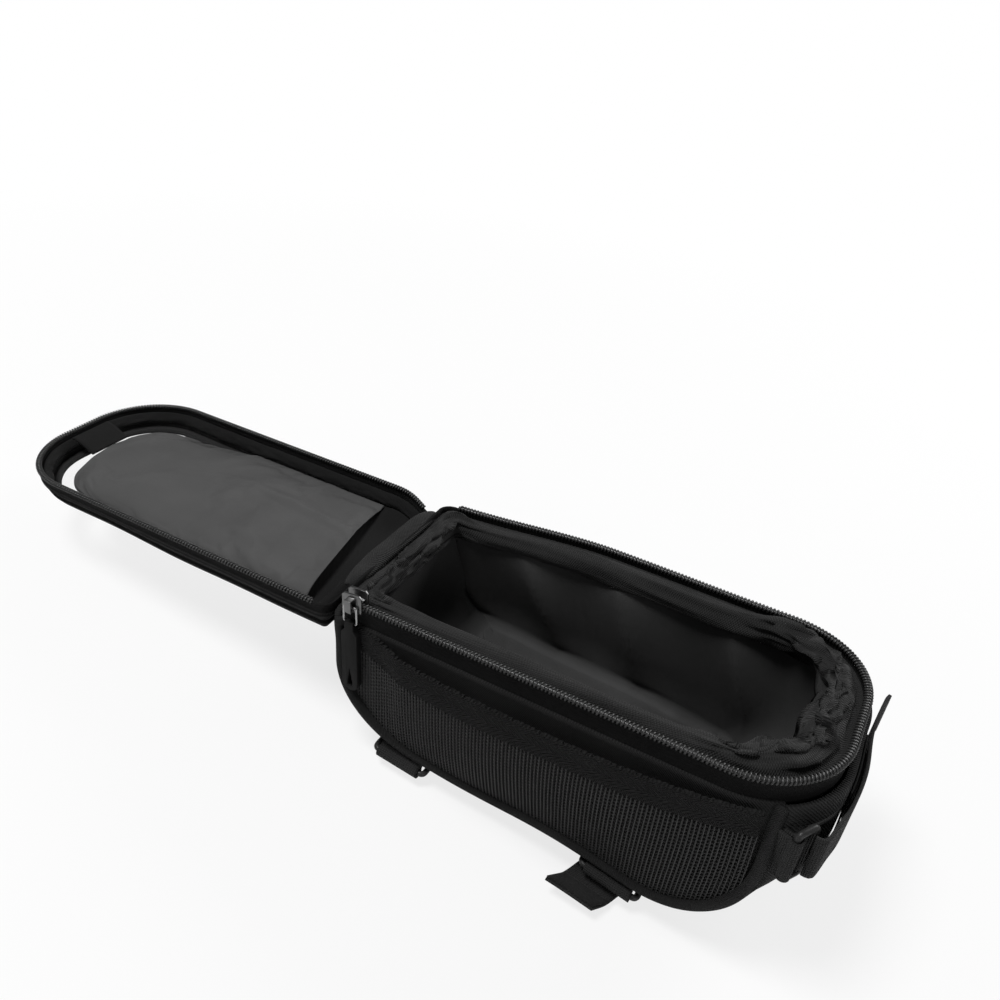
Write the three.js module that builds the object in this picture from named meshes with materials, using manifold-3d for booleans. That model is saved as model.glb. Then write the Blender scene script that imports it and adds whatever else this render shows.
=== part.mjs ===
// Phone bag for a bike's top tube: a padded soft box with a zip-up lid, a clear phone window in the lid,
// a mesh pocket on each side, and three hook-and-loop straps threaded through moulded rings.
// Millimetres, +Z up. The origin is the centre of the sloping bottom face that sits on the top tube.
// +X points to the strap end of the bag, which faces the head tube. -Y is the side that carries the slider.
// The lid is drawn shut and then turned open about its hinge, as the bag stands in use when it is open flat.
import * as THREE from 'three';
import { mergeVertices } from 'three/addons/utils/BufferGeometryUtils.js';
import Module from 'manifold-3d';

const wasm = await Module();
wasm.setup();

// Driving sizes of the body
const bagLength = 192;
const bagWidth = 92;
const bagHeight = 73;
const mouthHingeRadius = 6;
const mouthEndRadius = 36;
const hingeBulge = 3;
const endBulge = 15;
const hingeBottomRadius = 37;
const endBottomRadius = 42;
const wedgeRise = 23;
const clearance = 0.3;
const facetSlack = 0.12;
const smallestFillet = 1;
const cutOverrun = 1;

// Layers of the padded wall, from the outside in
const sideThickness = 3;
const gussetThickness = 2.4;
const foamThickness = 2.5;
const boardThickness = 1.2;
const boardMargin = 3;
const liningThickness = 0.8;
const bulgeRise = 68;

// Zip
const coilWidth = 2.4;
const coilHeight = 2.4;
const coilWaist = 1.6;
const coilPitch = 2.4;
const zipGap = 1.5;
const tapeThickness = 1.2;
const tapeInset = 0.6;
const mouthTapeHeight = 8.3;
const hemDrop = 7.9;
const hemReach = 7.4;
const hemThickness = 1.5;
const hemTopDrop = 4.1;
const liningDrop = 13.8;

// Side seam piping
const pipingRadius = 1.8;

// Mesh pockets
const pocketHingeMargin = 18;
const pocketEndMargin = 10;
const pocketBottomMargin = 1.5;
const pocketMouthDrop = 12;
const pocketMouthSag = 6;
const pocketBow = 7;
const meshThickness = 1.2;
const bindingWidth = 12;
const bindingThickness = 1.8;

// Lid
const lidHeight = 15;
const lidTapeHeight = 3.5;
const lidWallThickness = 1.6;
const lidWallInset = 0.4;
const frameThickness = 2.5;
const frameInset = 2.4;
const frameBorder = 10;
const lidPipingRadius = 1.4;
const lidPipingInset = 0.6;
const windowThickness = 0.8;
const windowLap = 5;
const windowBindingThickness = 0.6;
const innerBindingThickness = 2.2;
const innerBindingHeight = 3.9;
const innerBindingLift = 4.1;
const innerBindingInset = 2.6;

// Hinge along the hinge end
const hingeOffset = 2;
const hingeDrop = 3.5;
const hingeWidth = 64;
const hingeFlapThickness = 1.2;
const hingeFlapLift = 1.2;

// Phone sleeve in the lid
const sleeveNearStart = 18;
const sleeveFarStart = 33;
const sleeveTaperMargin = 46;
const sleeveNearMargin = 30;
const sleeveFarMargin = 23;
const sleeveWidth = 78;
const sleeveEndWidth = 50;
const sleeveThickness = 0.8;
const sleeveDepth = 7.2;
const sleeveTabWidth = 22;
const sleeveTabLength = 30;
const sleeveTabThickness = 0.8;
const sleeveTabHinge = 12;
const patchThickness = 0.9;
const sleevePatchLength = 13;

// Slider, link and puller
const sliderStart = 5;
const sliderLength = 9;
const sliderWideHeight = 8.8;
const sliderNarrowHeight = 7.8;
const sliderPlate = 1;
const sliderPlay = 0.4;
const sliderPost = 0.8;
const sliderPostLength = 3;
const sliderFillet = 1.2;
const bridgeWidth = 3;
const bridgeStand = 1.8;
const bridgeBar = 1;
const bridgeFoot = 0.9;
const bridgeSpan = 5.8;
const linkWire = 0.55;
const linkWidth = 6;
const linkLength = 8;
const linkDrop = 1;
const pullerWidth = 7.5;
const pullerLength = 30;
const pullerThickness = 3;
const pullerNeckWidth = 4.2;
const pullerNeckLength = 5;
const pullerSlotWidth = 2.6;
const pullerSlotLength = 8;

// Webbing straps and their rings
const webbingWidth = 20;
const webbingThickness = 1.3;
const tabPly = 0.9;
const tabStem = 2;
const ringWire = 1.2;
const ringPitch = 8.4;
const ringCorner = 1.8;
const strapPatchThickness = 0.7;
const strapPatchLength = 34;
const strapLead = 25;
const strapPast = 20;
const tailStand = 2.7;
const seamInset = 2.4;
const farSeamInset = 8;
const farSeamLap = 8;
const rearStrapX = -62;
const frontStrapX = 33;
const bottomRingDrop = 5;
const rearStrapDrop = 6.2;
const frontStrapDrop = 8.9;
const rearTailLength = 48;
const rearTailDrop = 9.85;
const frontTailReach = 11;
const frontTailSkew = 0.4;
const strapSlope = 12;
const endStrapHeight = 46;
const endTabRoot = 0.9;
const endRingStand = 7;
const endRingTilt = 148;
const endStrapStand = 2.6;
const endTailLift = 3.9;

// Shares of the strap end: place across the panel, stand off it, and lift of the tail
const endStrapShares = [[-0.8, 0.59], [-0.5, 0.9], [0, 1], [0.36, 0.97], [0.6, 0.85], [0.7, 0.74]];
const endTailShares = [
  [0.66, 0.94, 0.8],
  [0.4, 1, 1],
  [0, 1, 1],
  [-0.5, 0.92, 1],
  [-0.95, 0.92, 1.4],
  [-1.2, 1, 1.7],
];
const endSeamShare = 0.35;

// Shares of a tail's turn round its bar: stand off the bar's middle, and angle in half turns
const tailTurnShares = [[1.5, 0.44], [1.9, 0.62]];

// Facet counts
const cornerSteps = 4;
const sideSteps = 4;
const wireSides = 8;
const cordSides = 6;
const bendSteps = 5;
const sheetSteps = 16;
const sheetRows = 5;
const sliceShares = [0.15, 0.3, 0.44, 0.56, 0.67, 0.77];

// Colours
const shellBlack = 0x17191a;
const clothBlack = 0x1c1e1f;
const meshBlack = 0x222425;
const webBlack = 0x1a1b1c;
const coilBlack = 0x111213;
const plasticBlack = 0x151617;
const liningGrey = 0x26292a;
const foamGrey = 0x3b3d3e;
const boardGrey = 0x2b2d2e;
const sleeveGrey = 0x565a5a;
const filmClear = 0xdde4e6;
const nickel = 0xc9cacb;

const halfLength = bagLength / 2;
const halfWidth = bagWidth / 2;
const sideHingeX = -halfLength + hingeBulge;
const sideEndX = halfLength - endBulge;
const gussetSide = halfWidth - sideThickness - clearance;
const foamSide = gussetSide - foamThickness - clearance;
const liningSide = foamSide - liningThickness;
const smallStep = clearance / 2;
const panelTop = bagHeight - coilHeight - clearance - mouthTapeHeight - clearance;
const hingeX = -halfLength - hingeOffset;
const hingeZ = bagHeight - hingeDrop;
const hingeSeamRadius = hingeOffset + tapeInset - clearance;
const lidRim = bagHeight + zipGap;
const degrees = Math.PI / 180;

const part = new THREE.Group();

function cloth(color, roughness = 0.9) {
  return new THREE.MeshStandardMaterial({ color, roughness, metalness: 0 });
}

function addPiece(group, name, geometry, material) {
  const mesh = new THREE.Mesh(geometry, material);
  mesh.name = name;
  group.add(mesh);
  return mesh;
}

// A group whose origin lies on a joint's axis, for pieces drawn in the parent's own frame
function hingedGroup(parent, pivot) {
  const group = new THREE.Group();
  group.position.copy(pivot);
  const inner = new THREE.Group();
  inner.position.copy(pivot).negate();
  group.add(inner);
  parent.add(group);
  return inner;
}

// Closed solid from a vertex list and triangles, turned so that its faces point out
function closedGeometry(points, faces) {
  let volume = 0;
  const normal = new THREE.Vector3();
  faces.forEach(([a, b, c]) => {
    volume += points[a].dot(normal.crossVectors(points[b], points[c]));
  });
  const turned = volume < 0 ? faces.map(([a, b, c]) => [a, c, b]) : faces;
  const geometry = new THREE.BufferGeometry().setFromPoints(points);
  geometry.setIndex(turned.flat());
  geometry.computeVertexNormals();
  return geometry;
}

// Skin over rings of equally many points; an open run of rings gets convex end caps
function skinRings(rings, closed) {
  const size = rings[0].length;
  const faces = [];
  const runs = closed ? rings.length : rings.length - 1;
  for (let i = 0; i < runs; i += 1) {
    const near = i * size;
    const far = ((i + 1) % rings.length) * size;
    for (let j = 0; j < size; j += 1) {
      const next = (j + 1) % size;
      faces.push([near + j, near + next, far + next], [near + j, far + next, far + j]);
    }
  }
  if (!closed) {
    const end = (rings.length - 1) * size;
    for (let j = 1; j < size - 1; j += 1) {
      faces.push([0, j + 1, j], [end, end + j, end + j + 1]);
    }
  }
  return closedGeometry(rings.flat(), faces);
}

// Thick sheet between two grids of points
function thickSheet(columns, rows, frontAt, backAt) {
  const points = [];
  for (let i = 0; i <= columns; i += 1) {
    for (let j = 0; j <= rows; j += 1) {
      points.push(frontAt(i / columns, j / rows), backAt(i / columns, j / rows));
    }
  }
  const front = (i, j) => 2 * (i * (rows + 1) + j);
  const back = (i, j) => front(i, j) + 1;
  const faces = [];
  const quad = (a, b, c, d) => faces.push([a, b, c], [a, c, d]);
  for (let i = 0; i < columns; i += 1) {
    for (let j = 0; j < rows; j += 1) {
      quad(front(i, j), front(i + 1, j), front(i + 1, j + 1), front(i, j + 1));
      quad(back(i, j), back(i, j + 1), back(i + 1, j + 1), back(i + 1, j));
    }
    quad(front(i, 0), back(i, 0), back(i + 1, 0), front(i + 1, 0));
    quad(front(i, rows), front(i + 1, rows), back(i + 1, rows), back(i, rows));
  }
  for (let j = 0; j < rows; j += 1) {
    quad(front(0, j), front(0, j + 1), back(0, j + 1), back(0, j));
    quad(front(columns, j), back(columns, j), back(columns, j + 1), front(columns, j + 1));
  }
  return closedGeometry(points, faces);
}

function toSolid(geometry) {
  const bare = geometry.clone();
  bare.deleteAttribute('normal');
  bare.deleteAttribute('uv');
  const merged = mergeVertices(bare);
  return new wasm.Manifold(new wasm.Mesh({
    numProp: 3,
    vertProperties: new Float32Array(merged.attributes.position.array),
    triVerts: new Uint32Array(merged.index.array),
  }));
}

function fromSolid(solid) {
  const mesh = solid.getMesh();
  const geometry = new THREE.BufferGeometry();
  geometry.setAttribute('position', new THREE.Float32BufferAttribute(mesh.vertProperties, 3));
  geometry.setIndex(new THREE.Uint32BufferAttribute(mesh.triVerts, 1));
  geometry.computeVertexNormals();
  return geometry;
}

function extrude(shape, depth, curveSegments = cornerSteps) {
  return new THREE.ExtrudeGeometry(shape, { depth, bevelEnabled: false, curveSegments });
}

// Profile drawn in X and Z, extruded towards +Y from the face nearest to the slider side
function extrudeAcross(shape, nearY, depth, curveSegments = cornerSteps) {
  const geometry = extrude(shape, depth, curveSegments);
  geometry.rotateX(Math.PI / 2);
  return geometry.translate(0, nearY + depth, 0);
}

function box(sizeX, sizeY, sizeZ, x, y, z) {
  return new THREE.BoxGeometry(sizeX, sizeY, sizeZ).translate(x, y, z);
}

// Side outline of the body, open at its top: hinge end, bottom, strap end
function sideOutline(inset, top) {
  const left = sideHingeX + inset;
  const right = sideEndX - inset;
  const hingeRadius = hingeBottomRadius - inset;
  const endRadius = endBottomRadius - inset;
  const outline = new THREE.Shape();
  outline.moveTo(left, top);
  outline.lineTo(left, inset + hingeRadius);
  outline.absarc(left + hingeRadius, inset + hingeRadius, hingeRadius, Math.PI, Math.PI * 3 / 2, false);
  outline.lineTo(right - endRadius, inset);
  outline.absarc(right - endRadius, inset + endRadius, endRadius, -Math.PI / 2, 0, false);
  outline.lineTo(right, top);
  return outline;
}

// The bag is a wedge: its bottom rises towards the hinge end while its mouth stays level
function wedgeHeight(x, z) {
  const share = THREE.MathUtils.clamp(1 - z / panelTop, 0, 1);
  return z - x * share * wedgeRise / bagLength;
}

function wedged(geometry) {
  const points = geometry.attributes.position;
  for (let k = 0; k < points.count; k += 1) {
    points.setZ(k, wedgeHeight(points.getX(k), points.getZ(k)));
  }
  geometry.computeVertexNormals();
  return geometry;
}

// Plan outline of the mouth, shared by the body and the lid
function mouthOutline(inset) {
  const left = -halfLength + inset;
  const right = halfLength - inset;
  const side = halfWidth - inset;
  const hingeRadius = Math.max(mouthHingeRadius - inset, smallestFillet);
  const endRadius = mouthEndRadius - inset;
  const outline = new THREE.Shape();
  outline.moveTo(left + hingeRadius, -side);
  outline.lineTo(right - endRadius, -side);
  outline.absarc(right - endRadius, -side + endRadius, endRadius, -Math.PI / 2, 0, false);
  outline.lineTo(right, side - endRadius);
  outline.absarc(right - endRadius, side - endRadius, endRadius, 0, Math.PI / 2, false);
  outline.lineTo(left + hingeRadius, side);
  outline.absarc(left + hingeRadius, side - hingeRadius, hingeRadius, Math.PI / 2, Math.PI, false);
  outline.lineTo(left, -side + hingeRadius);
  outline.absarc(left + hingeRadius, -side + hingeRadius, hingeRadius, Math.PI, Math.PI * 3 / 2, false);
  return outline;
}

// Band round the mouth; its section is a list of [inset, height] corners
function mouthBand(section) {
  const loops = section.map(([inset]) => mouthOutline(inset).getPoints(cornerSteps));
  const rings = loops[0].slice(0, -1).map((_, k) => section.map(
    ([, height], corner) => new THREE.Vector3(loops[corner][k].x, loops[corner][k].y, height),
  ));
  return skinRings(rings, true);
}

// Rectangular section for mouthBand, from its outer inset and its lower height
function bandSection(inset, thickness, low, high) {
  return [[inset, low], [inset + thickness, low], [inset + thickness, high], [inset, high]];
}

function roundSection(centreX, centreY, radius, sides) {
  return Array.from({ length: sides }, (_, k) => {
    const angle = (k + 1 / 2) * 2 * Math.PI / sides;
    return [centreX + radius * Math.cos(angle), centreY + radius * Math.sin(angle)];
  });
}

// Sweep along flat path points; sectionAt gives [outward, across] corners, place puts them in space
function sweepPoints(path, closed, sectionAt, place) {
  const count = path.length;
  const rings = path.map((point, k) => {
    const before = closed ? path[(k + count - 1) % count] : path[Math.max(k - 1, 0)];
    const after = closed ? path[(k + 1) % count] : path[Math.min(k + 1, count - 1)];
    const along = after.clone().sub(before).normalize();
    return sectionAt(k).map(([outward, across]) => place(
      point.x + along.y * outward,
      point.y - along.x * outward,
      across,
    ));
  });
  return skinRings(rings, closed);
}

// How far the strap-end and hinge-end walls stand out, by height and by distance from the middle
function cornerProfile(y, radius, bulge) {
  const past = Math.max(Math.abs(y) - (halfWidth - radius), 0);
  return Math.max(bulge - radius + Math.sqrt(Math.max(radius ** 2 - past ** 2, 0)), 0);
}

function bulgeShare(z) {
  return THREE.MathUtils.smoothstep(z, 0, bulgeRise);
}

// Shift of a point of the side outline, so that walls keep their thickness through the bulge
function bulgedX(point, y, inset) {
  const atEnd = point.x > 0;
  const radius = atEnd ? endBottomRadius : hingeBottomRadius;
  const centre = atEnd ? sideEndX - radius : sideHingeX + radius;
  const sign = atEnd ? 1 : -1;
  const reach = THREE.MathUtils.clamp(sign * (point.x - centre) / (radius - inset), 0, 1);
  const level = radius - radius * Math.max(radius - point.y, 0) / (radius - inset);
  const height = Math.max(point.y, level);
  const out = atEnd
    ? cornerProfile(y, mouthEndRadius, endBulge)
    : cornerProfile(y, mouthHingeRadius, hingeBulge);
  return point.x + sign * out * bulgeShare(height) * reach;
}

// Solid body of the bag at an inset from its outside, as slices across its width
function bagSolid(inset, sideY, top) {
  const outline = sideOutline(inset, top).getPoints(sideSteps);
  const half = sliceShares.map((share) => share * halfWidth).concat(liningSide, foamSide, gussetSide);
  const positive = half.filter((y) => y > 0 && y < sideY - smallStep).concat(sideY);
  const stations = [...positive.map((y) => -y).reverse(), 0, ...positive];
  const rings = stations.map((y) => outline.map((p) => new THREE.Vector3(bulgedX(p, y, inset), y, p.y)));
  return toSolid(skinRings(rings, false));
}

function bagStrip(inset, thickness, sideY, top) {
  const outer = bagSolid(inset, sideY, top);
  const inner = bagSolid(inset + thickness, sideY + cutOverrun, top + cutOverrun);
  return fromSolid(outer.subtract(inner));
}

// Body shell
function addShell() {
  const shell = cloth(shellBlack);
  const foam = cloth(foamGrey);
  const foamInset = gussetThickness + clearance + facetSlack;
  const boardInset = foamInset + foamThickness + clearance;
  const liningInset = boardInset + boardThickness + clearance;
  const panel = sideOutline(0, panelTop);
  const across = (shape, nearY, depth) => extrudeAcross(shape, nearY, depth, sideSteps);
  const add = (name, geometry, material) => addPiece(part, name, wedged(geometry), material);
  add('side_panel_near', across(panel, -halfWidth, sideThickness), shell);
  add('side_panel_far', across(panel, halfWidth - sideThickness, sideThickness), shell);
  add('end_gusset', bagStrip(0, gussetThickness, gussetSide, panelTop), shell);
  const padding = sideOutline(foamInset, panelTop);
  add('side_foam_near', across(padding, -gussetSide, foamThickness), foam);
  add('side_foam_far', across(padding, gussetSide - foamThickness, foamThickness), foam);
  add('gusset_foam', bagStrip(foamInset, foamThickness, foamSide, panelTop), foam);
  const boardLeft = sideHingeX + hingeBottomRadius;
  const boardRight = sideEndX - endBottomRadius;
  const board = box(
    boardRight - boardLeft,
    2 * (foamSide - boardMargin),
    boardThickness,
    (boardLeft + boardRight) / 2,
    0,
    boardInset + boardThickness / 2,
  );
  add('base_board', board, cloth(boardGrey, 0.6));
  const lining = bagSolid(liningInset, foamSide, bagHeight - liningDrop).subtract(
    bagSolid(liningInset + liningThickness, liningSide, bagHeight - liningDrop + cutOverrun),
  );
  add('lining', fromSolid(lining), cloth(liningGrey, 0.7));
}

function addPiping() {
  const stand = (pipingRadius + clearance) * Math.SQRT1_2;
  const path = sideOutline(0, panelTop).getPoints(sideSteps);
  ['near', 'far'].forEach((side) => {
    const sign = side === 'near' ? -1 : 1;
    const section = roundSection(stand, sign * (halfWidth + stand), pipingRadius, wireSides);
    const geometry = sweepPoints(path, false, () => section, (x, z, y) => new THREE.Vector3(x, y, z));
    addPiece(part, `side_piping_${side}`, wedged(geometry), cloth(webBlack));
  });
}

// Nylon coil: a run of teeth along three sides of the mouth
function coilGeometry(low) {
  const inset = coilWidth / 2;
  const start = -halfLength + mouthHingeRadius + coilPitch / 2;
  const right = halfLength - inset;
  const side = halfWidth - inset;
  const radius = mouthEndRadius - inset;
  const path = new THREE.Path();
  path.moveTo(start, -side);
  path.lineTo(right - radius, -side);
  path.absarc(right - radius, -side + radius, radius, -Math.PI / 2, 0, false);
  path.lineTo(right, side - radius);
  path.absarc(right - radius, side - radius, radius, 0, Math.PI / 2, false);
  path.lineTo(start, side);
  const teeth = Math.round(path.getLength() / coilPitch);
  const points = path.getSpacedPoints(2 * teeth);
  const middle = low + coilHeight / 2;
  const sectionAt = (k) => {
    const width = k % 2 === 1 ? coilWidth : coilWaist;
    const height = k % 2 === 1 ? coilHeight : coilHeight * coilWaist / coilWidth;
    return [
      [-width / 2, middle - height / 2],
      [width / 2, middle - height / 2],
      [width / 2, middle + height / 2],
      [-width / 2, middle + height / 2],
    ];
  };
  return sweepPoints(points, false, sectionAt, (x, y, z) => new THREE.Vector3(x, y, z));
}

function addMouth() {
  const tapeTop = bagHeight - coilHeight - clearance;
  const tape = bandSection(tapeInset, tapeThickness, tapeTop - mouthTapeHeight, tapeTop);
  const hemInset = tapeInset + tapeThickness + clearance;
  const hemTop = bagHeight - hemTopDrop;
  const hem = [
    [hemInset, hemTop],
    [hemInset, hemTop - hemThickness],
    [hemInset + hemReach, hemTop - hemThickness - hemDrop],
    [hemInset + hemReach, hemTop - hemDrop],
  ];
  addPiece(part, 'mouth_zip_tape', mouthBand(tape), cloth(clothBlack));
  addPiece(part, 'mouth_hem', mouthBand(hem), cloth(liningGrey));
  addPiece(part, 'mouth_coil', coilGeometry(bagHeight - coilHeight), cloth(coilBlack, 0.35));
}

// Mesh pocket and its herringbone binding, bowed away from the side panel and open at the top
function pocketSheet(sign, low, high, thickness) {
  const left = sideHingeX + pocketHingeMargin;
  const right = sideEndX - pocketEndMargin;
  const bottomAt = (x) => {
    const hingeReach = Math.max(sideHingeX + hingeBottomRadius - x, 0);
    const endReach = Math.max(x - (sideEndX - endBottomRadius), 0);
    const hingeRise = hingeBottomRadius - Math.sqrt(hingeBottomRadius ** 2 - hingeReach ** 2);
    const endRise = endBottomRadius - Math.sqrt(endBottomRadius ** 2 - endReach ** 2);
    return wedgeHeight(x, pocketBottomMargin + Math.max(hingeRise, endRise));
  };
  const mouthAt = (u) => bagHeight - pocketMouthDrop - pocketMouthSag * (1 - (2 * u - 1) ** 2);
  const pointAt = (u, v, outward) => {
    const x = left + (right - left) * u;
    const bottom = bottomAt(x);
    const mouth = mouthAt(u);
    const z = low(bottom, mouth) + (high(bottom, mouth) - low(bottom, mouth)) * v;
    const rise = (z - bottom) / (mouth - bottom);
    const bow = pocketBow * (1 - Math.abs(2 * u - 1) ** 3) * (1 - (1 - rise) ** 2);
    return new THREE.Vector3(x, sign * (halfWidth + clearance + bow + outward), z);
  };
  return thickSheet(
    sheetSteps,
    sheetRows,
    (u, v) => pointAt(u, v, 0),
    (u, v) => pointAt(u, v, thickness),
  );
}

function addPockets() {
  [['near', -1], ['far', 1]].forEach(([side, sign]) => {
    const mesh = pocketSheet(
      sign,
      (bottom) => bottom,
      (bottom, mouth) => mouth - bindingWidth - clearance,
      meshThickness,
    );
    const binding = pocketSheet(
      sign,
      (bottom, mouth) => mouth - bindingWidth,
      (bottom, mouth) => mouth,
      bindingThickness,
    );
    addPiece(part, `mesh_pocket_${side}`, mesh, cloth(meshBlack));
    addPiece(part, `pocket_binding_${side}`, binding, cloth(clothBlack));
  });
}

// Lid, drawn shut over the mouth
const lidPivot = new THREE.Group();
lidPivot.position.set(hingeX, 0, hingeZ);
lidPivot.rotation.y = Math.PI;
part.add(lidPivot);
const lid = new THREE.Group();
lid.position.set(-hingeX, 0, -hingeZ);
lidPivot.add(lid);

const frameLow = lidRim + lidHeight - frameThickness;
const windowHigh = frameLow - clearance;
const windowLow = windowHigh - windowThickness;

function addLidShell() {
  const tapeLow = lidRim + coilHeight + clearance;
  const wallLow = tapeLow + lidTapeHeight + clearance;
  const pipingHeight = lidRim + lidHeight - lidPipingRadius - clearance / 2;
  const wallHigh = pipingHeight - lidPipingRadius - clearance;
  addPiece(lid, 'lid_coil', coilGeometry(lidRim), cloth(coilBlack, 0.35));
  const tape = bandSection(tapeInset, tapeThickness, tapeLow, tapeLow + lidTapeHeight);
  addPiece(lid, 'lid_zip_tape', mouthBand(tape), cloth(clothBlack));
  const wall = bandSection(lidWallInset, lidWallThickness, wallLow, wallHigh);
  addPiece(lid, 'lid_wall', mouthBand(wall), cloth(shellBlack));
  const piping = roundSection(lidPipingInset, pipingHeight, lidPipingRadius, cordSides);
  addPiece(lid, 'lid_piping', mouthBand(piping), cloth(webBlack));
  const frame = mouthOutline(frameInset);
  frame.holes.push(mouthOutline(frameInset + frameBorder));
  const frameGeometry = extrude(frame, frameThickness).translate(0, 0, frameLow);
  addPiece(lid, 'lid_frame', frameGeometry, cloth(shellBlack));
  const inner = bandSection(
    innerBindingInset,
    innerBindingThickness,
    lidRim + innerBindingLift,
    lidRim + innerBindingLift + innerBindingHeight,
  );
  addPiece(lid, 'lid_inner_binding', mouthBand(inner), cloth(clothBlack));
}

function addWindow() {
  const film = new THREE.MeshStandardMaterial({
    color: filmClear, roughness: 0.15, metalness: 0, transparent: true, opacity: 0.35,
  });
  const inset = frameInset + frameBorder - windowLap;
  const pane = extrude(mouthOutline(inset), windowThickness).translate(0, 0, windowLow);
  addPiece(lid, 'phone_window', pane, film);
  const high = windowLow - clearance;
  const seam = bandSection(inset, windowLap, high - windowBindingThickness, high);
  addPiece(lid, 'window_binding', mouthBand(seam), cloth(clothBlack));
}

// Sleeve that holds the phone against the window, open towards the lid's free end
function addSleeve() {
  const cover = cloth(sleeveGrey, 0.75);
  const high = windowLow - clearance - windowBindingThickness - clearance;
  const low = high - sleeveDepth;
  const sleeveShape = (shrink, overrun) => {
    const side = sleeveWidth / 2 - shrink;
    const endSide = sleeveEndWidth / 2 - shrink;
    return new THREE.Shape([
      new THREE.Vector2(hingeX + sleeveNearStart + 2 * shrink, -side),
      new THREE.Vector2(halfLength - sleeveTaperMargin - shrink, -side),
      new THREE.Vector2(halfLength - sleeveNearMargin, -endSide),
      new THREE.Vector2(halfLength - sleeveNearMargin + overrun, -endSide),
      new THREE.Vector2(halfLength - sleeveFarMargin + overrun, endSide),
      new THREE.Vector2(halfLength - sleeveFarMargin, endSide),
      new THREE.Vector2(halfLength - sleeveTaperMargin - shrink, side),
      new THREE.Vector2(hingeX + sleeveFarStart + 2 * shrink, side),
    ].filter((point, k) => overrun > 0 || (k !== 3 && k !== 4)));
  };
  const outer = toSolid(extrude(sleeveShape(0, 0), sleeveDepth).translate(0, 0, low));
  const hollow = toSolid(
    extrude(sleeveShape(sleeveThickness, cutOverrun), sleeveDepth).translate(0, 0, low + sleeveThickness),
  );
  addPiece(lid, 'phone_sleeve', fromSolid(outer.subtract(hollow)), cover);
  const fuzzy = cloth(webBlack, 1);
  const patchEnd = halfLength - sleeveNearMargin;
  const patchHigh = low - clearance;
  const patch = box(
    sleevePatchLength,
    sleeveTabWidth,
    patchThickness,
    patchEnd - sleevePatchLength / 2,
    0,
    patchHigh - patchThickness / 2,
  );
  addPiece(lid, 'sleeve_loop_patch', patch, fuzzy);
  const tabHinge = halfLength - sleeveTabHinge;
  const tabHigh = patchHigh - patchThickness - clearance - patchThickness - clearance;
  const pivot = new THREE.Vector3(tabHinge, 0, tabHigh - sleeveTabThickness / 2);
  const swing = hingedGroup(lid, pivot);
  const tab = box(
    sleeveTabLength,
    sleeveTabWidth,
    sleeveTabThickness,
    tabHinge - sleeveTabLength / 2,
    0,
    tabHigh - sleeveTabThickness / 2,
  );
  addPiece(swing, 'sleeve_tab', tab, fuzzy);
  const hook = box(
    sleevePatchLength - cutOverrun,
    sleeveTabWidth,
    patchThickness,
    tabHinge - sleeveTabLength + sleevePatchLength / 2,
    0,
    tabHigh + clearance + patchThickness / 2,
  );
  addPiece(swing, 'sleeve_hook_patch', hook, fuzzy);
}

// Folded fabric that joins the lid to the body across the hinge end
function addHinge() {
  const seam = new THREE.CylinderGeometry(hingeSeamRadius, hingeSeamRadius, hingeWidth, wireSides);
  seam.translate(hingeX, 0, hingeZ);
  addPiece(part, 'hinge_seam', seam, cloth(clothBlack));
  const flapLow = hingeZ + hingeFlapLift;
  const flapHigh = lidRim + coilHeight;
  const flap = box(
    hingeFlapThickness,
    hingeWidth,
    flapHigh - flapLow,
    -halfLength + tapeInset + hingeFlapThickness / 2,
    0,
    (flapLow + flapHigh) / 2,
  );
  addPiece(lid, 'hinge_flap', flap, cloth(clothBlack));
}

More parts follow.
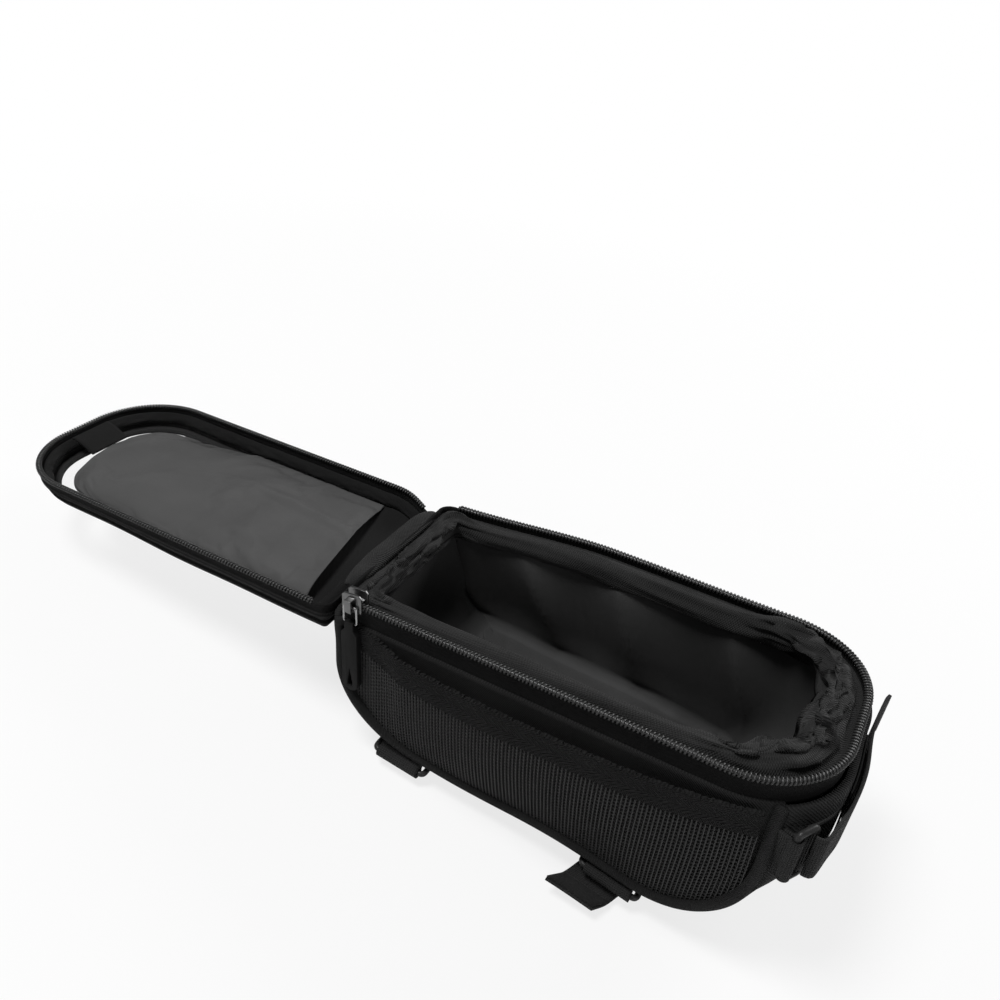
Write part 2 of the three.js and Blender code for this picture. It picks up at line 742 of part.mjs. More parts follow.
// Slider: two plates round the coils, joined by a thin post between them, with a bridge for the link
function addSlider() {
  const metal = new THREE.MeshStandardMaterial({ color: nickel, roughness: 0.25, metalness: 1 });
  const rubber = new THREE.MeshStandardMaterial({ color: plasticBlack, roughness: 0.6, metalness: 0 });
  const middleZ = bagHeight + zipGap / 2;
  const left = -halfLength + sliderStart;
  const right = left + sliderLength;
  const middleX = (left + right) / 2;
  const outerFace = -halfWidth - sliderPlay;
  const innerFace = -halfWidth + coilWidth + sliderPlay;
  const outline = new THREE.Shape();
  outline.moveTo(left, middleZ - sliderNarrowHeight / 2 + sliderFillet);
  outline.lineTo(left + sliderFillet, middleZ - sliderNarrowHeight / 2);
  outline.lineTo(right - sliderFillet, middleZ - sliderWideHeight / 2);
  outline.lineTo(right, middleZ - sliderWideHeight / 2 + sliderFillet);
  outline.lineTo(right, middleZ + sliderWideHeight / 2 - sliderFillet);
  outline.lineTo(right - sliderFillet, middleZ + sliderWideHeight / 2);
  outline.lineTo(left + sliderFillet, middleZ + sliderNarrowHeight / 2);
  outline.lineTo(left, middleZ + sliderNarrowHeight / 2 - sliderFillet);
  let slider = toSolid(extrudeAcross(outline, outerFace - sliderPlate, sliderPlate));
  slider = slider.add(toSolid(extrudeAcross(outline, innerFace, sliderPlate)));
  const postDepth = innerFace - outerFace + sliderPlate;
  slider = slider.add(toSolid(box(
    sliderPostLength,
    postDepth,
    sliderPost,
    right - sliderPostLength / 2 - sliderFillet,
    (innerFace + outerFace) / 2,
    middleZ,
  )));
  const lipTop = bagHeight - coilHeight - sliderPlay;
  const lipHeight = lipTop - (middleZ - sliderNarrowHeight / 2);
  const lipLength = sliderLength - 2 * sliderFillet;
  slider = slider.add(toSolid(box(
    lipLength,
    tapeInset,
    lipHeight,
    middleX,
    outerFace + tapeInset / 2,
    lipTop - lipHeight / 2,
  )));
  const footOut = outerFace - sliderPlate;
  const bridgeDepth = bridgeStand + bridgeBar;
  [-1, 1].forEach((sign) => {
    slider = slider.add(toSolid(box(
      bridgeWidth,
      bridgeDepth + sliderPlate / 2,
      bridgeFoot,
      middleX,
      footOut - bridgeDepth / 2 + sliderPlate / 4,
      middleZ + sign * (bridgeSpan - bridgeFoot) / 2,
    )));
  });
  slider = slider.add(toSolid(box(
    bridgeWidth,
    bridgeBar,
    bridgeSpan,
    middleX,
    footOut - bridgeStand - bridgeBar / 2,
    middleZ,
  )));
  const sliderGroup = hingedGroup(part, new THREE.Vector3(middleX, outerFace, middleZ));
  addPiece(sliderGroup, 'zip_slider', fromSolid(slider), metal);

  const linkY = footOut - bridgeStand / 2;
  const linkTop = middleZ - linkDrop;
  const linkGroup = hingedGroup(sliderGroup, new THREE.Vector3(middleX, linkY, linkTop));
  const loop = [
    new THREE.Vector2(middleX - linkWidth / 2, linkTop),
    new THREE.Vector2(middleX - linkWidth / 2, linkTop - linkLength),
    new THREE.Vector2(middleX + linkWidth / 2, linkTop - linkLength),
    new THREE.Vector2(middleX + linkWidth / 2, linkTop),
  ];
  const wire = wireLoop(loop, linkWire, linkWire * 2, (x, z, y) => new THREE.Vector3(x, linkY + y, z));
  addPiece(linkGroup, 'pull_link', wire, metal);

  const pullerTop = linkTop - linkLength;
  const pullerGroup = hingedGroup(linkGroup, new THREE.Vector3(middleX, linkY, pullerTop));
  const shape = new THREE.Shape();
  const neck = pullerNeckWidth / 2;
  const half = pullerWidth / 2;
  const shoulder = pullerTop - pullerNeckLength;
  const bottom = shoulder - pullerLength + half;
  shape.moveTo(middleX - neck, pullerTop + neck / 2);
  shape.lineTo(middleX - neck, shoulder + neck);
  shape.lineTo(middleX - half, shoulder);
  shape.lineTo(middleX - half, bottom);
  shape.absarc(middleX, bottom, half, Math.PI, Math.PI * 2, false);
  shape.lineTo(middleX + half, shoulder);
  shape.lineTo(middleX + neck, shoulder + neck);
  shape.lineTo(middleX + neck, pullerTop + neck / 2);
  const slot = new THREE.Path();
  slot.moveTo(middleX, bottom + pullerSlotLength);
  slot.lineTo(middleX - pullerSlotWidth / 2, bottom);
  slot.absarc(middleX, bottom, pullerSlotWidth / 2, Math.PI, Math.PI * 2, false);
  shape.holes.push(slot);
  const blank = toSolid(extrudeAcross(shape, linkY - pullerThickness / 2, pullerThickness, bendSteps));
  const eyeRadius = linkWire + clearance + facetSlack;
  const eye = new THREE.CylinderGeometry(eyeRadius, eyeRadius, pullerWidth, wireSides);
  eye.rotateZ(Math.PI / 2).translate(middleX, linkY, pullerTop);
  addPiece(pullerGroup, 'rubber_puller', fromSolid(blank.subtract(toSolid(eye))), rubber);
}

// Closed wire loop with rounded corners, from the corners of its middle line
function wireLoop(corners, radius, corner, place) {
  const points = [];
  corners.forEach((point, k) => {
    const before = corners[(k + corners.length - 1) % corners.length].clone().sub(point).setLength(corner);
    const after = corners[(k + 1) % corners.length].clone().sub(point).setLength(corner);
    const start = point.clone().add(before);
    const end = point.clone().add(after);
    const curve = new THREE.QuadraticBezierCurve(start, point, end);
    points.push(...curve.getPoints(cornerSteps - 1));
  });
  const section = roundSection(0, 0, radius, wireSides);
  return sweepPoints(points, true, () => section, place);
}

// Path moved sideways by a distance, with mitred corners so that its straight runs stay parallel
function offsetPath(points, distance) {
  return points.map((point, k) => {
    const before = k > 0 ? point.clone().sub(points[k - 1]).normalize() : null;
    const after = k < points.length - 1 ? points[k + 1].clone().sub(point).normalize() : null;
    const along = (before ?? after).clone().add(after ?? before).normalize();
    const reach = distance / along.dot(before ?? after);
    return new THREE.Vector2(point.x - along.y * reach, point.y + along.x * reach);
  });
}

// Flat shape of a webbing strip seen from its edge
function ribbonShape(points, thickness) {
  const kept = points.filter((p, k) => k === 0 || p.distanceTo(points[k - 1]) > clearance / 2);
  return new THREE.Shape([
    ...offsetPath(kept, thickness / 2),
    ...offsetPath(kept, -thickness / 2).reverse(),
  ]);
}

function arcPoints(centre, radius, startAngle, endAngle, endRadius = radius) {
  const steps = Math.ceil(Math.abs(endAngle - startAngle) / (Math.PI / 2) * bendSteps);
  return Array.from({ length: steps + 1 }, (_, k) => {
    const angle = startAngle + (endAngle - startAngle) * k / steps;
    const away = radius + (endRadius - radius) * k / steps;
    return new THREE.Vector2(centre.x + away * Math.cos(angle), centre.y + away * Math.sin(angle));
  });
}

const barClear = ringWire + clearance + facetSlack;
const tabWrap = barClear + tabPly;
const strapWrap = barClear + webbingThickness / 2;
const patchStand = webbingThickness / 2 + clearance + strapPatchThickness / 2;
const web = cloth(webBlack);
const fuzzy = cloth(webBlack, 1);

function polar(centre, radius, angle) {
  return new THREE.Vector2(centre.x + radius * Math.cos(angle), centre.y + radius * Math.sin(angle));
}

// Strap sections are drawn in a plane, x towards the near side and y out from the bag's face.
// A folded tab in the near seam holds the ring. The strap passes between the ring's outer bar and the bag,
// comes out through the slot, and its tail folds back over the bar onto the strap.
function addStrap(name, { root, innerBar, ringTilt, placement, seat, approach, tailRun, closed, skew }) {
  const strip = (outline, width = webbingWidth) => extrude(outline, width, bendSteps).translate(0, 0, -width / 2);
  const place = (geometry) => (
    seat ? wedged(geometry.applyMatrix4(placement)) : geometry.applyMatrix4(placement)
  );
  const tabTilt = Math.atan2(innerBar.y - root.y, innerBar.x - root.x);
  const outerBar = polar(innerBar, ringPitch, ringTilt);
  const slotWay = ringTilt + Math.PI;

  const stemAngle = Math.asin(tabStem / 2 / tabWrap);
  const eye = arcPoints(innerBar, tabWrap, tabTilt - Math.PI + stemAngle, tabTilt + Math.PI - stemAngle);
  const tab = new THREE.Shape([
    polar(root, tabStem / 2, tabTilt + Math.PI / 2),
    polar(root, tabStem / 2, tabTilt - Math.PI / 2),
    ...eye,
  ]);
  const hole = new THREE.Path();
  hole.absarc(innerBar.x, innerBar.y, barClear, 0, Math.PI * 2, true);
  tab.holes.push(hole);
  addPiece(part, `strap_tab_${name}`, place(strip(tab)), web);

  const halfSpan = webbingWidth / 2 + clearance + ringWire + clearance;
  const corners = [
    new THREE.Vector2(0, -halfSpan),
    new THREE.Vector2(ringPitch, -halfSpan),
    new THREE.Vector2(ringPitch, halfSpan),
    new THREE.Vector2(0, halfSpan),
  ];
  const ring = wireLoop(corners, ringWire, ringCorner, (along, across, away) => {
    const spot = polar(polar(innerBar, along, ringTilt), away, slotWay + Math.PI / 2);
    return new THREE.Vector3(spot.x, spot.y, across);
  });
  const plastic = new THREE.MeshStandardMaterial({ color: plasticBlack, roughness: 0.45, metalness: 0 });
  addPiece(part, `strap_ring_${name}`, place(ring), plastic);

  const wrapStart = slotWay - Math.PI / 2 - strapLead * degrees;
  const wrap = arcPoints(outerBar, strapWrap, wrapStart, slotWay + strapPast * degrees);
  addPiece(part, `strap_${name}`, place(strip(ribbonShape([...approach(outerBar), ...wrap], webbingThickness))), web);
  const middle = (points) => points.filter((p) => Math.abs(p.x) < strapPatchLength / 2);
  const loop = ribbonShape(offsetPath(middle(approach(outerBar)), patchStand), strapPatchThickness);
  addPiece(part, `strap_loop_patch_${name}`, place(strip(loop)), fuzzy);

  const tailRoot = polar(outerBar, tailStand, slotWay + Math.PI / 4);
  const turn = closed
    ? tailTurnShares.map(([stand, angle]) => polar(outerBar, tailStand * stand, slotWay + Math.PI * angle))
    : [];
  const tailPath = smooth([tailRoot, ...turn, ...tailRun(outerBar)]);
  const lean = new THREE.Matrix4().makeShear(0, skew, 0, 0, 0, 0);
  const offset = new THREE.Matrix4().makeTranslation(-tailRoot.x, 0, 0);
  const askew = offset.clone().invert().multiply(lean).multiply(offset);
  const pivot = new THREE.Vector3(tailRoot.x, tailRoot.y, 0).applyMatrix4(placement);
  if (seat) {
    pivot.z = wedgeHeight(pivot.x, pivot.z);
  }
  const swing = hingedGroup(part, pivot);
  const tail = strip(ribbonShape(tailPath, webbingThickness)).applyMatrix4(askew);
  addPiece(swing, `strap_tail_${name}`, place(tail), web);
  const ends = closed ? middle(tailPath) : tailPath.slice(-bendSteps);
  const hook = strip(ribbonShape(offsetPath(ends, closed ? patchStand : -patchStand), strapPatchThickness));
  addPiece(swing, `strap_hook_patch_${name}`, place(hook.applyMatrix4(askew)), fuzzy);
}

function smooth(points) {
  return new THREE.SplineCurve(points).getPoints(sheetSteps);
}

// Bottom strap, flattened under the bag: from the far seam, under the bottom, to the ring at the near seam
function addBottomStrap(name, x, drop, closed, tailRun, skew) {
  const placement = new THREE.Matrix4().makeBasis(
    new THREE.Vector3(0, -1, 0),
    new THREE.Vector3(0, 0, -1),
    new THREE.Vector3(1, 0, 0),
  ).setPosition(x, 0, 0);
  const seamDrop = clearance + webbingThickness / 2;
  const bend = (drop - seamDrop) / 2;
  const farX = -(halfWidth - farSeamInset) + bend - webbingThickness;
  const approach = (outerBar) => [
    new THREE.Vector2(farX + farSeamLap, seamDrop),
    ...arcPoints(new THREE.Vector2(farX, seamDrop + bend), bend, -Math.PI / 2, -Math.PI * 3 / 2),
    new THREE.Vector2(-strapPatchLength / 2 + clearance, drop),
    new THREE.Vector2(strapPatchLength / 2 - clearance, drop),
    new THREE.Vector2(outerBar.x - strapSlope, drop),
  ];
  addStrap(name, {
    root: new THREE.Vector2(halfWidth - seamInset, clearance),
    innerBar: new THREE.Vector2(halfWidth - seamInset, bottomRingDrop),
    ringTilt: Math.PI,
    placement,
    seat: true,
    approach,
    tailRun,
    closed,
    skew,
  });
}

function addBottomStraps() {
  addBottomStrap('rear', rearStrapX, rearStrapDrop, true, (outerBar) => [
    new THREE.Vector2(outerBar.x - tailStand * 2, rearTailDrop),
    new THREE.Vector2(strapPatchLength / 2, rearTailDrop),
    new THREE.Vector2(0, rearTailDrop),
    new THREE.Vector2(outerBar.x - rearTailLength, rearTailDrop),
  ], 0);
  addBottomStrap('front', frontStrapX, frontStrapDrop, false, () => [
    new THREE.Vector2(halfWidth - seamInset, bottomRingDrop + tabWrap + clearance + webbingThickness),
    new THREE.Vector2(halfWidth, bottomRingDrop + tabWrap + 2 * webbingThickness - clearance),
    new THREE.Vector2(halfWidth + frontTailReach, bottomRingDrop + tabWrap + 2 * webbingThickness),
  ], -frontTailSkew);
}

// Strap across the strap-end panel, which holds the head tube
function addEndStrap() {
  const placement = new THREE.Matrix4().makeBasis(
    new THREE.Vector3(0, -1, 0),
    new THREE.Vector3(1, 0, 0),
    new THREE.Vector3(0, 0, 1),
  ).setPosition(sideEndX, 0, endStrapHeight);
  const crown = endBulge + endStrapStand;
  const lifted = ([share, stand, lift = 0]) => new THREE.Vector2(
    share * halfWidth,
    stand * crown + lift * endTailLift,
  );
  const seamX = halfWidth - seamInset;
  const approach = () => smooth([
    new THREE.Vector2(-seamX, endTabRoot + webbingThickness),
    new THREE.Vector2(-seamX, crown * endSeamShare),
    ...endStrapShares.map(lifted),
  ]);
  const tailRun = () => endTailShares.map(lifted);
  addStrap('end', {
    root: new THREE.Vector2(seamX, endTabRoot),
    innerBar: new THREE.Vector2(seamX + tabStem, endRingStand),
    ringTilt: endRingTilt * degrees,
    placement,
    seat: false,
    approach,
    tailRun,
    closed: true,
    skew: 0,
  });
}

addShell();
addPiping();
addMouth();
addPockets();
addLidShell();
addWindow();
addSleeve();
addHinge();
addSlider();
addBottomStraps();
addEndStrap();

export default part;
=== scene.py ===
"""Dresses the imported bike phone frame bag: shell, zip, mesh pockets, lid with phone sleeve, and straps."""

import math

import bmesh
import bpy
from mathutils import Matrix, Vector, noise


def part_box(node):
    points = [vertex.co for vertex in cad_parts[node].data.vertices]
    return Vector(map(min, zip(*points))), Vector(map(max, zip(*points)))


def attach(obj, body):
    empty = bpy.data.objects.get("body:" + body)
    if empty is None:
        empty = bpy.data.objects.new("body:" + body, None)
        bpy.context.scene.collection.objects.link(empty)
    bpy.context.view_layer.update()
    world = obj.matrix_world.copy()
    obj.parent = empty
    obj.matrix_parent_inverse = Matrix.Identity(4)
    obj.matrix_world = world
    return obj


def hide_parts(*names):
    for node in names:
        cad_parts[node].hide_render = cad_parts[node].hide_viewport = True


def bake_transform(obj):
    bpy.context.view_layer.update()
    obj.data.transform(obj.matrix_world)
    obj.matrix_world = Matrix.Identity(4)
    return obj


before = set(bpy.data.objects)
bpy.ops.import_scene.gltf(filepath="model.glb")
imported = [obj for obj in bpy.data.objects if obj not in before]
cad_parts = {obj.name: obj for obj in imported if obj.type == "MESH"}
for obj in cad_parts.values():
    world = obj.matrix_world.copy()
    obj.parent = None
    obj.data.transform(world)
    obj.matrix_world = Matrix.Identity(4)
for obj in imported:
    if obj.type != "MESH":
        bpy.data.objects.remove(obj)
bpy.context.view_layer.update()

bl_info = {
    "name": "Bike phone frame bag",
    "version": (1, 0, 0),
    "blender": (4, 5, 0),
    "location": "3D View > Sidebar > Bag",
    "description": "Builds the cloth, zip, mesh, window and webbing of a bike phone frame bag",
    "category": "Object",
}

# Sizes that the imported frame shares, in metres
HALF_LENGTH = 0.096
HALF_WIDTH = 0.046
HEIGHT = 0.073
MOUTH_HINGE_RADIUS = 0.006
MOUTH_END_RADIUS = 0.036
MOUTH_SIDE_RUN = 0.150
MOUTH_END_RUN = 0.020
MOUTH_HINGE_RUN = 0.080
COIL_MARGINS = (0.002, 0.0019)
PANEL_LEFT = -0.093
PANEL_RIGHT = 0.081
HINGE_BEND = 0.037
END_BEND = 0.042
BASE_LEFT = PANEL_LEFT + HINGE_BEND
BASE_RIGHT = PANEL_RIGHT - END_BEND
HINGE_BULGE = 0.003
END_BULGE = 0.015
BULGE_RISE = 0.056
HINGE_X = -0.098
HINGE_Z = 0.0695
LID_RIM = 0.0745
SEAM_TOP = 0.0617
PANEL_TOP = 0.0625
WEDGE = 23 / 192
WEBBING = 0.0013
QUARTER = math.pi / 2

# Shape of the cloth and thickness of the cords, in metres
BOTTOM_ARCH = 0.0035
WALL_CROWN = 0.0022
CORNER_DRAW = 0.0095
LID_CORNER_DRAW = 0.011
LID_WAVE = 0.0008
PIPING_RADIUS = 0.0023
LID_PIPING_RADIUS = 0.0014
COIL_WIRE = 0.00042
COIL_INSET = 0.0012


def smooth(value, low, high):
    share = min(max((value - low) / (high - low), 0.0), 1.0)
    return share * share * (3 - 2 * share)


def mixed(a, b, share):
    return a + (b - a) * share


def ripple(x, y, z, size, seed=0.0):
    """Smooth noise from -1 to 1 whose waves are about size long."""
    return noise.noise(Vector((x / size + seed, y / size - seed, z / size + seed * 0.37)))


# Materials


class Recipe:
    """Small helper that adds and links the nodes of one material."""

    def __init__(self, name):
        self.material = bpy.data.materials.new(name)
        self.material.use_nodes = True
        self.tree = self.material.node_tree
        self.tree.nodes.clear()
        self.output = self.tree.nodes.new("ShaderNodeOutputMaterial")
        self.shader = self.tree.nodes.new("ShaderNodeBsdfPrincipled")
        self.tree.links.new(self.shader.outputs[0], self.output.inputs[0])

    def set(self, **values):
        for key, value in values.items():
            self.shader.inputs[key.replace("_", " ")].default_value = value

    def node(self, kind, **inputs):
        made = self.tree.nodes.new(kind)
        for key, value in inputs.items():
            self.feed(made.inputs[key.replace("_", " ")], value)
        return made

    def feed(self, socket, value):
        if isinstance(value, bpy.types.NodeSocket):
            self.tree.links.new(value, socket)
        else:
            socket.default_value = value

    def math(self, operation, first, second=None):
        made = self.tree.nodes.new("ShaderNodeMath")
        made.operation = operation
        self.feed(made.inputs[0], first)
        if second is not None:
            self.feed(made.inputs[1], second)
        return made.outputs[0]

    def spot(self):
        where = self.tree.nodes.new("ShaderNodeTexCoord")
        split = self.node("ShaderNodeSeparateXYZ", Vector=where.outputs["UV"])
        return split.outputs[0], split.outputs[1]

    def scaled(self, value, factor, plus):
        return self.math("ADD", self.math("MULTIPLY", value, factor), plus)

    def wave(self, along, pitch):
        return self.math("SINE", self.math("MULTIPLY", along, 2 * math.pi / pitch))

    def cloud(self, size, detail=3.0):
        where = self.tree.nodes.new("ShaderNodeTexCoord").outputs["Object"]
        return self.node("ShaderNodeTexNoise", Vector=where, Scale=1 / size, Detail=detail).outputs[0]

    def colour(self, share, dark, light):
        made = self.tree.nodes.new("ShaderNodeMix")
        made.data_type = "RGBA"
        made.clamp_factor = True
        self.feed(made.inputs[0], share)
        made.inputs[6].default_value = (*dark, 1)
        made.inputs[7].default_value = (*light, 1)
        self.tree.links.new(made.outputs[2], self.shader.inputs["Base Color"])

    def bump(self, height, depth):
        made = self.node("ShaderNodeBump", Strength=1.0, Distance=depth, Height=height)
        self.tree.links.new(made.outputs[0], self.shader.inputs["Normal"])


def grey(level):
    """Linear colour of a grey written as an sRGB level from 0 to 255."""
    share = level / 255
    line = share / 12.92 if share <= 0.04045 else ((share + 0.055) / 1.055) ** 2.4
    return (line, line, line)


def woven(
    name, level, weave, pitch, depth, roughness=0.85, sheen=0.02, contrast=0.35, width=0.006, specular=0.16
):
    """Cloth whose weave follows the piece's own UV map, which is laid out in metres."""
    recipe = Recipe(name)
    along, across = recipe.spot()
    if weave == "twill":
        height = recipe.wave(recipe.math("ADD", along, across), pitch)
    elif weave == "rib":
        ribs = recipe.math("ABSOLUTE", recipe.wave(along, 2 * pitch))
        height = recipe.scaled(recipe.wave(across, pitch * 1.3), 0.35, ribs)
    elif weave == "herringbone":
        fold = recipe.math("PINGPONG", across, width / 2)
        height = recipe.wave(recipe.scaled(fold, 1.3, along), pitch)
    else:
        height = recipe.math("MULTIPLY", recipe.wave(along, pitch), recipe.wave(across, pitch))
    fibre = recipe.math("SUBTRACT", recipe.cloud(pitch * 0.8, 2.0), 0.5)
    height = recipe.scaled(fibre, 1.2, height)
    patch = recipe.math("SUBTRACT", recipe.cloud(0.022), 0.5)
    share = recipe.scaled(height, 0.28, recipe.math("MULTIPLY", patch, 0.9))
    share = recipe.math("ADD", share, 0.5)
    recipe.colour(share, grey(level * (1 - contrast)), grey(level * (1 + contrast)))
    recipe.bump(height, depth)
    recipe.set(Roughness=roughness, Sheen_Weight=sheen, Sheen_Roughness=0.45, Specular_IOR_Level=specular)
    return recipe.material


def fuzzy(name, level):
    """Hook or loop fastener: a matt pile with tufts."""
    recipe = Recipe(name)
    tufts = recipe.cloud(0.0006, 2.0)
    patch = recipe.cloud(0.01, 2.0)
    share = recipe.scaled(tufts, 1.1, recipe.math("MULTIPLY", patch, 0.5))
    recipe.colour(recipe.math("SUBTRACT", share, 0.3), grey(level * 0.5), grey(level * 1.5))
    recipe.bump(tufts, 0.0004)
    recipe.set(Roughness=0.95, Sheen_Weight=0.05, Sheen_Roughness=0.5, Specular_IOR_Level=0.05)
    return recipe.material


def moulded(name, level, roughness, grain=0.0008, depth=0.00003, specular=0.25):
    """Moulded plastic or rubber with a faint skin and worn patches."""
    recipe = Recipe(name)
    skin = recipe.cloud(grain, 4.0)
    patch = recipe.cloud(0.006)
    recipe.colour(recipe.scaled(patch, 0.8, 0.1), grey(level * 0.8), grey(level * 1.25))
    recipe.feed(recipe.shader.inputs["Roughness"], recipe.scaled(patch, 0.25, roughness - 0.12))
    recipe.bump(skin, depth)
    recipe.set(Specular_IOR_Level=specular)
    return recipe.material


def plated(name, level):
    """Nickel plate with handling marks."""
    recipe = Recipe(name)
    marks = recipe.cloud(0.0022, 5.0)
    recipe.colour(marks, grey(level * 0.75), grey(level))
    recipe.feed(recipe.shader.inputs["Roughness"], recipe.scaled(marks, 0.3, 0.2))
    recipe.bump(marks, 0.00003)
    recipe.set(Metallic=1.0)
    return recipe.material


def film(name):
    """Clear soft window film with faint waves."""
    recipe = Recipe(name)
    recipe.bump(recipe.cloud(0.03, 2.0), 0.0006)
    recipe.set(Base_Color=(0.10, 0.10, 0.10, 1), Roughness=0.06, IOR=1.45, Alpha=0.05)
    return recipe.material


MATERIALS = {}


def make_materials():
    level = bpy.context.scene.bag_colours
    thin = dict(contrast=0.15, specular=0.2)
    bold = dict(contrast=0.5, width=0.0062)
    MATERIALS.update(
        shell=woven("shell twill", level.shell, "twill", 0.0011, 0.00016, 0.8),
        hem=woven("hem cloth", level.hem, "plain", 0.0011, 0.0002, sheen=0.04),
        gathered=woven("gathered cloth", level.tape * 1.25, "plain", 0.0009, 0.0001),
        lining=woven("lining cloth", level.lining, "plain", 0.0006, 0.00005, 0.5, **thin),
        sleeve=woven("sleeve cloth", level.sleeve, "plain", 0.0005, 0.00005, 0.6, contrast=0.1, specular=0.2),
        tape=woven("zip tape", level.tape, "herringbone", 0.0008, 0.00012, width=0.0028),
        binding=woven("binding tape", level.binding, "herringbone", 0.0013, 0.0003, 0.8, **bold),
        piping=woven("piping cover", level.shell, "twill", 0.0009, 0.00014, 0.8),
        webbing=woven("webbing", level.webbing, "rib", 0.00075, 0.00025, 0.78, contrast=0.45),
        pile=fuzzy("hook and loop", level.webbing),
        mesh=moulded("mesh net", level.mesh, 0.5, 0.0005, 0.00002, 0.3),
        coil=moulded("coil nylon", level.coil, 0.34, 0.0004, 0.00001, 0.5),
        plastic=moulded("ring plastic", level.plastic, 0.4),
        rubber=moulded("puller rubber", level.rubber, 0.6, specular=0.12),
        nickel=plated("link nickel", 185),
        gunmetal=plated("slider plating", 125),
        film=film("window film"),
    )


# Mesh helpers


def finish_piece(mesh, name, material, body, nodes, wall=0.0, offset=-1.0):
    """Turns a bmesh into a named piece on its body; wall gives a sheet its thickness behind its face."""
    data = bpy.data.meshes.new(name)
    mesh.to_mesh(data)
    mesh.free()
    piece = bpy.data.objects.new(name, data)
    bpy.context.scene.collection.objects.link(piece)
    data.materials.append(MATERIALS[material])
    data.shade_smooth()
    if body:
        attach(piece, body)
    if nodes:
        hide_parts(*nodes)
    if wall:
        walled(piece, wall, offset)
    return piece


def grid(columns, rows, place, size, closed=False, turned=False):
    """Sheet: place turns shares of its length and width into a point, and size lays its UV in metres."""
    mesh = bmesh.new()
    layer = mesh.loops.layers.uv.new("cloth")
    bmesh.ops.create_grid(mesh, x_segments=columns, y_segments=rows, size=0.5)
    for face in mesh.faces:
        for loop in face.loops:
            spot = loop.vert.co
            loop[layer].uv = ((spot.x + 0.5) * size[0], (spot.y + 0.5) * size[1])
    for vertex in mesh.verts:
        vertex.co = place(vertex.co.x + 0.5, vertex.co.y + 0.5)
    if closed:
        bmesh.ops.remove_doubles(mesh, verts=mesh.verts, dist=0.000002)
    if turned:
        bmesh.ops.reverse_faces(mesh, faces=mesh.faces)
    return mesh


def walled(piece, thickness, offset):
    wall = piece.modifiers.new("wall", "SOLIDIFY")
    wall.thickness = thickness
    wall.offset = offset
    wall.use_even_offset = False


def run_at(runs, share):
    """Number of the run that a share of the whole length falls in, and the share of that run."""
    spot = share * sum(runs)
    k = 0
    while k < len(runs) - 1 and spot > runs[k]:
        spot -= runs[k]
        k += 1
    return k, min(spot / runs[k], 1.0)


def resampled(points, count):
    """Points at equal steps along a path."""
    lengths = [0.0]
    for a, b in zip(points, points[1:]):
        lengths.append(lengths[-1] + (b - a).length)
    made = []
    k = 0
    for i in range(count + 1):
        target = lengths[-1] * i / count
        while k < len(points) - 2 and lengths[k + 1] < target:
            k += 1
        run = max(lengths[k + 1] - lengths[k], 1e-9)
        made.append(points[k].lerp(points[k + 1], min(max((target - lengths[k]) / run, 0), 1)))
    return made, lengths[-1]


def splined(points, steps=8):
    """Smooth path through its points."""
    made = []
    ends = [points[0] * 2 - points[1], *points, points[-1] * 2 - points[-2]]
    for k in range(len(points) - 1):
        a, b, c, d = ends[k : k + 4]
        for i in range(steps):
            t = i / steps
            bend = (a * 2 - b * 5 + c * 4 - d) * t**2
            twist = (b * 3 - a - c * 3 + d) * t**3
            made.append(0.5 * (b * 2 + (c - a) * t + bend + twist))
    return [*made, points[-1].copy()]


def rounded(corners, radius, steps):
    """Closed path through a ring of corners, each cut short by radius and rounded."""
    made = []
    for k, corner in enumerate(corners):
        before = (corners[k - 1] - corner).normalized() * radius
        after = (corners[(k + 1) % len(corners)] - corner).normalized() * radius
        for i in range(steps + 1):
            t = i / steps
            made.append(corner + before * (1 - t) ** 2 + after * t**2)
    return [*made, made[0].copy()]


def tube(points, radius, up, sides, closed=False):
    """Cord along a path, with UV laid along it."""
    count = len(points) - 1
    length = sum((b - a).length for a, b in zip(points, points[1:]))

    def place(u, v):
        i = min(round(u * count), count)
        if closed:
            before = points[(i - 1) % count]
            after = points[(i + 1) % count]
        else:
            before = points[max(i - 1, 0)]
            after = points[min(i + 1, count)]
        along = (after - before).normalized()
        side = along.cross(up).normalized()
        top = side.cross(along)
        angle = 2 * math.pi * v
        return points[i] + side * math.cos(angle) * radius + top * math.sin(angle) * radius

    mesh = grid(count, sides, place, (length, 2 * math.pi * radius), closed=True, turned=True)
    if not closed:
        holes = [edge for edge in mesh.edges if edge.is_boundary]
        bmesh.ops.holes_fill(mesh, edges=holes, sides=sides)
    return mesh


def joined(meshes):
    """One bmesh out of several, with their UV maps kept."""
    data = bpy.data.meshes.new("joined")
    made = bmesh.new()
    for mesh in meshes:
        mesh.to_mesh(data)
        made.from_mesh(data)
        mesh.free()
    bpy.data.meshes.remove(data)
    return made


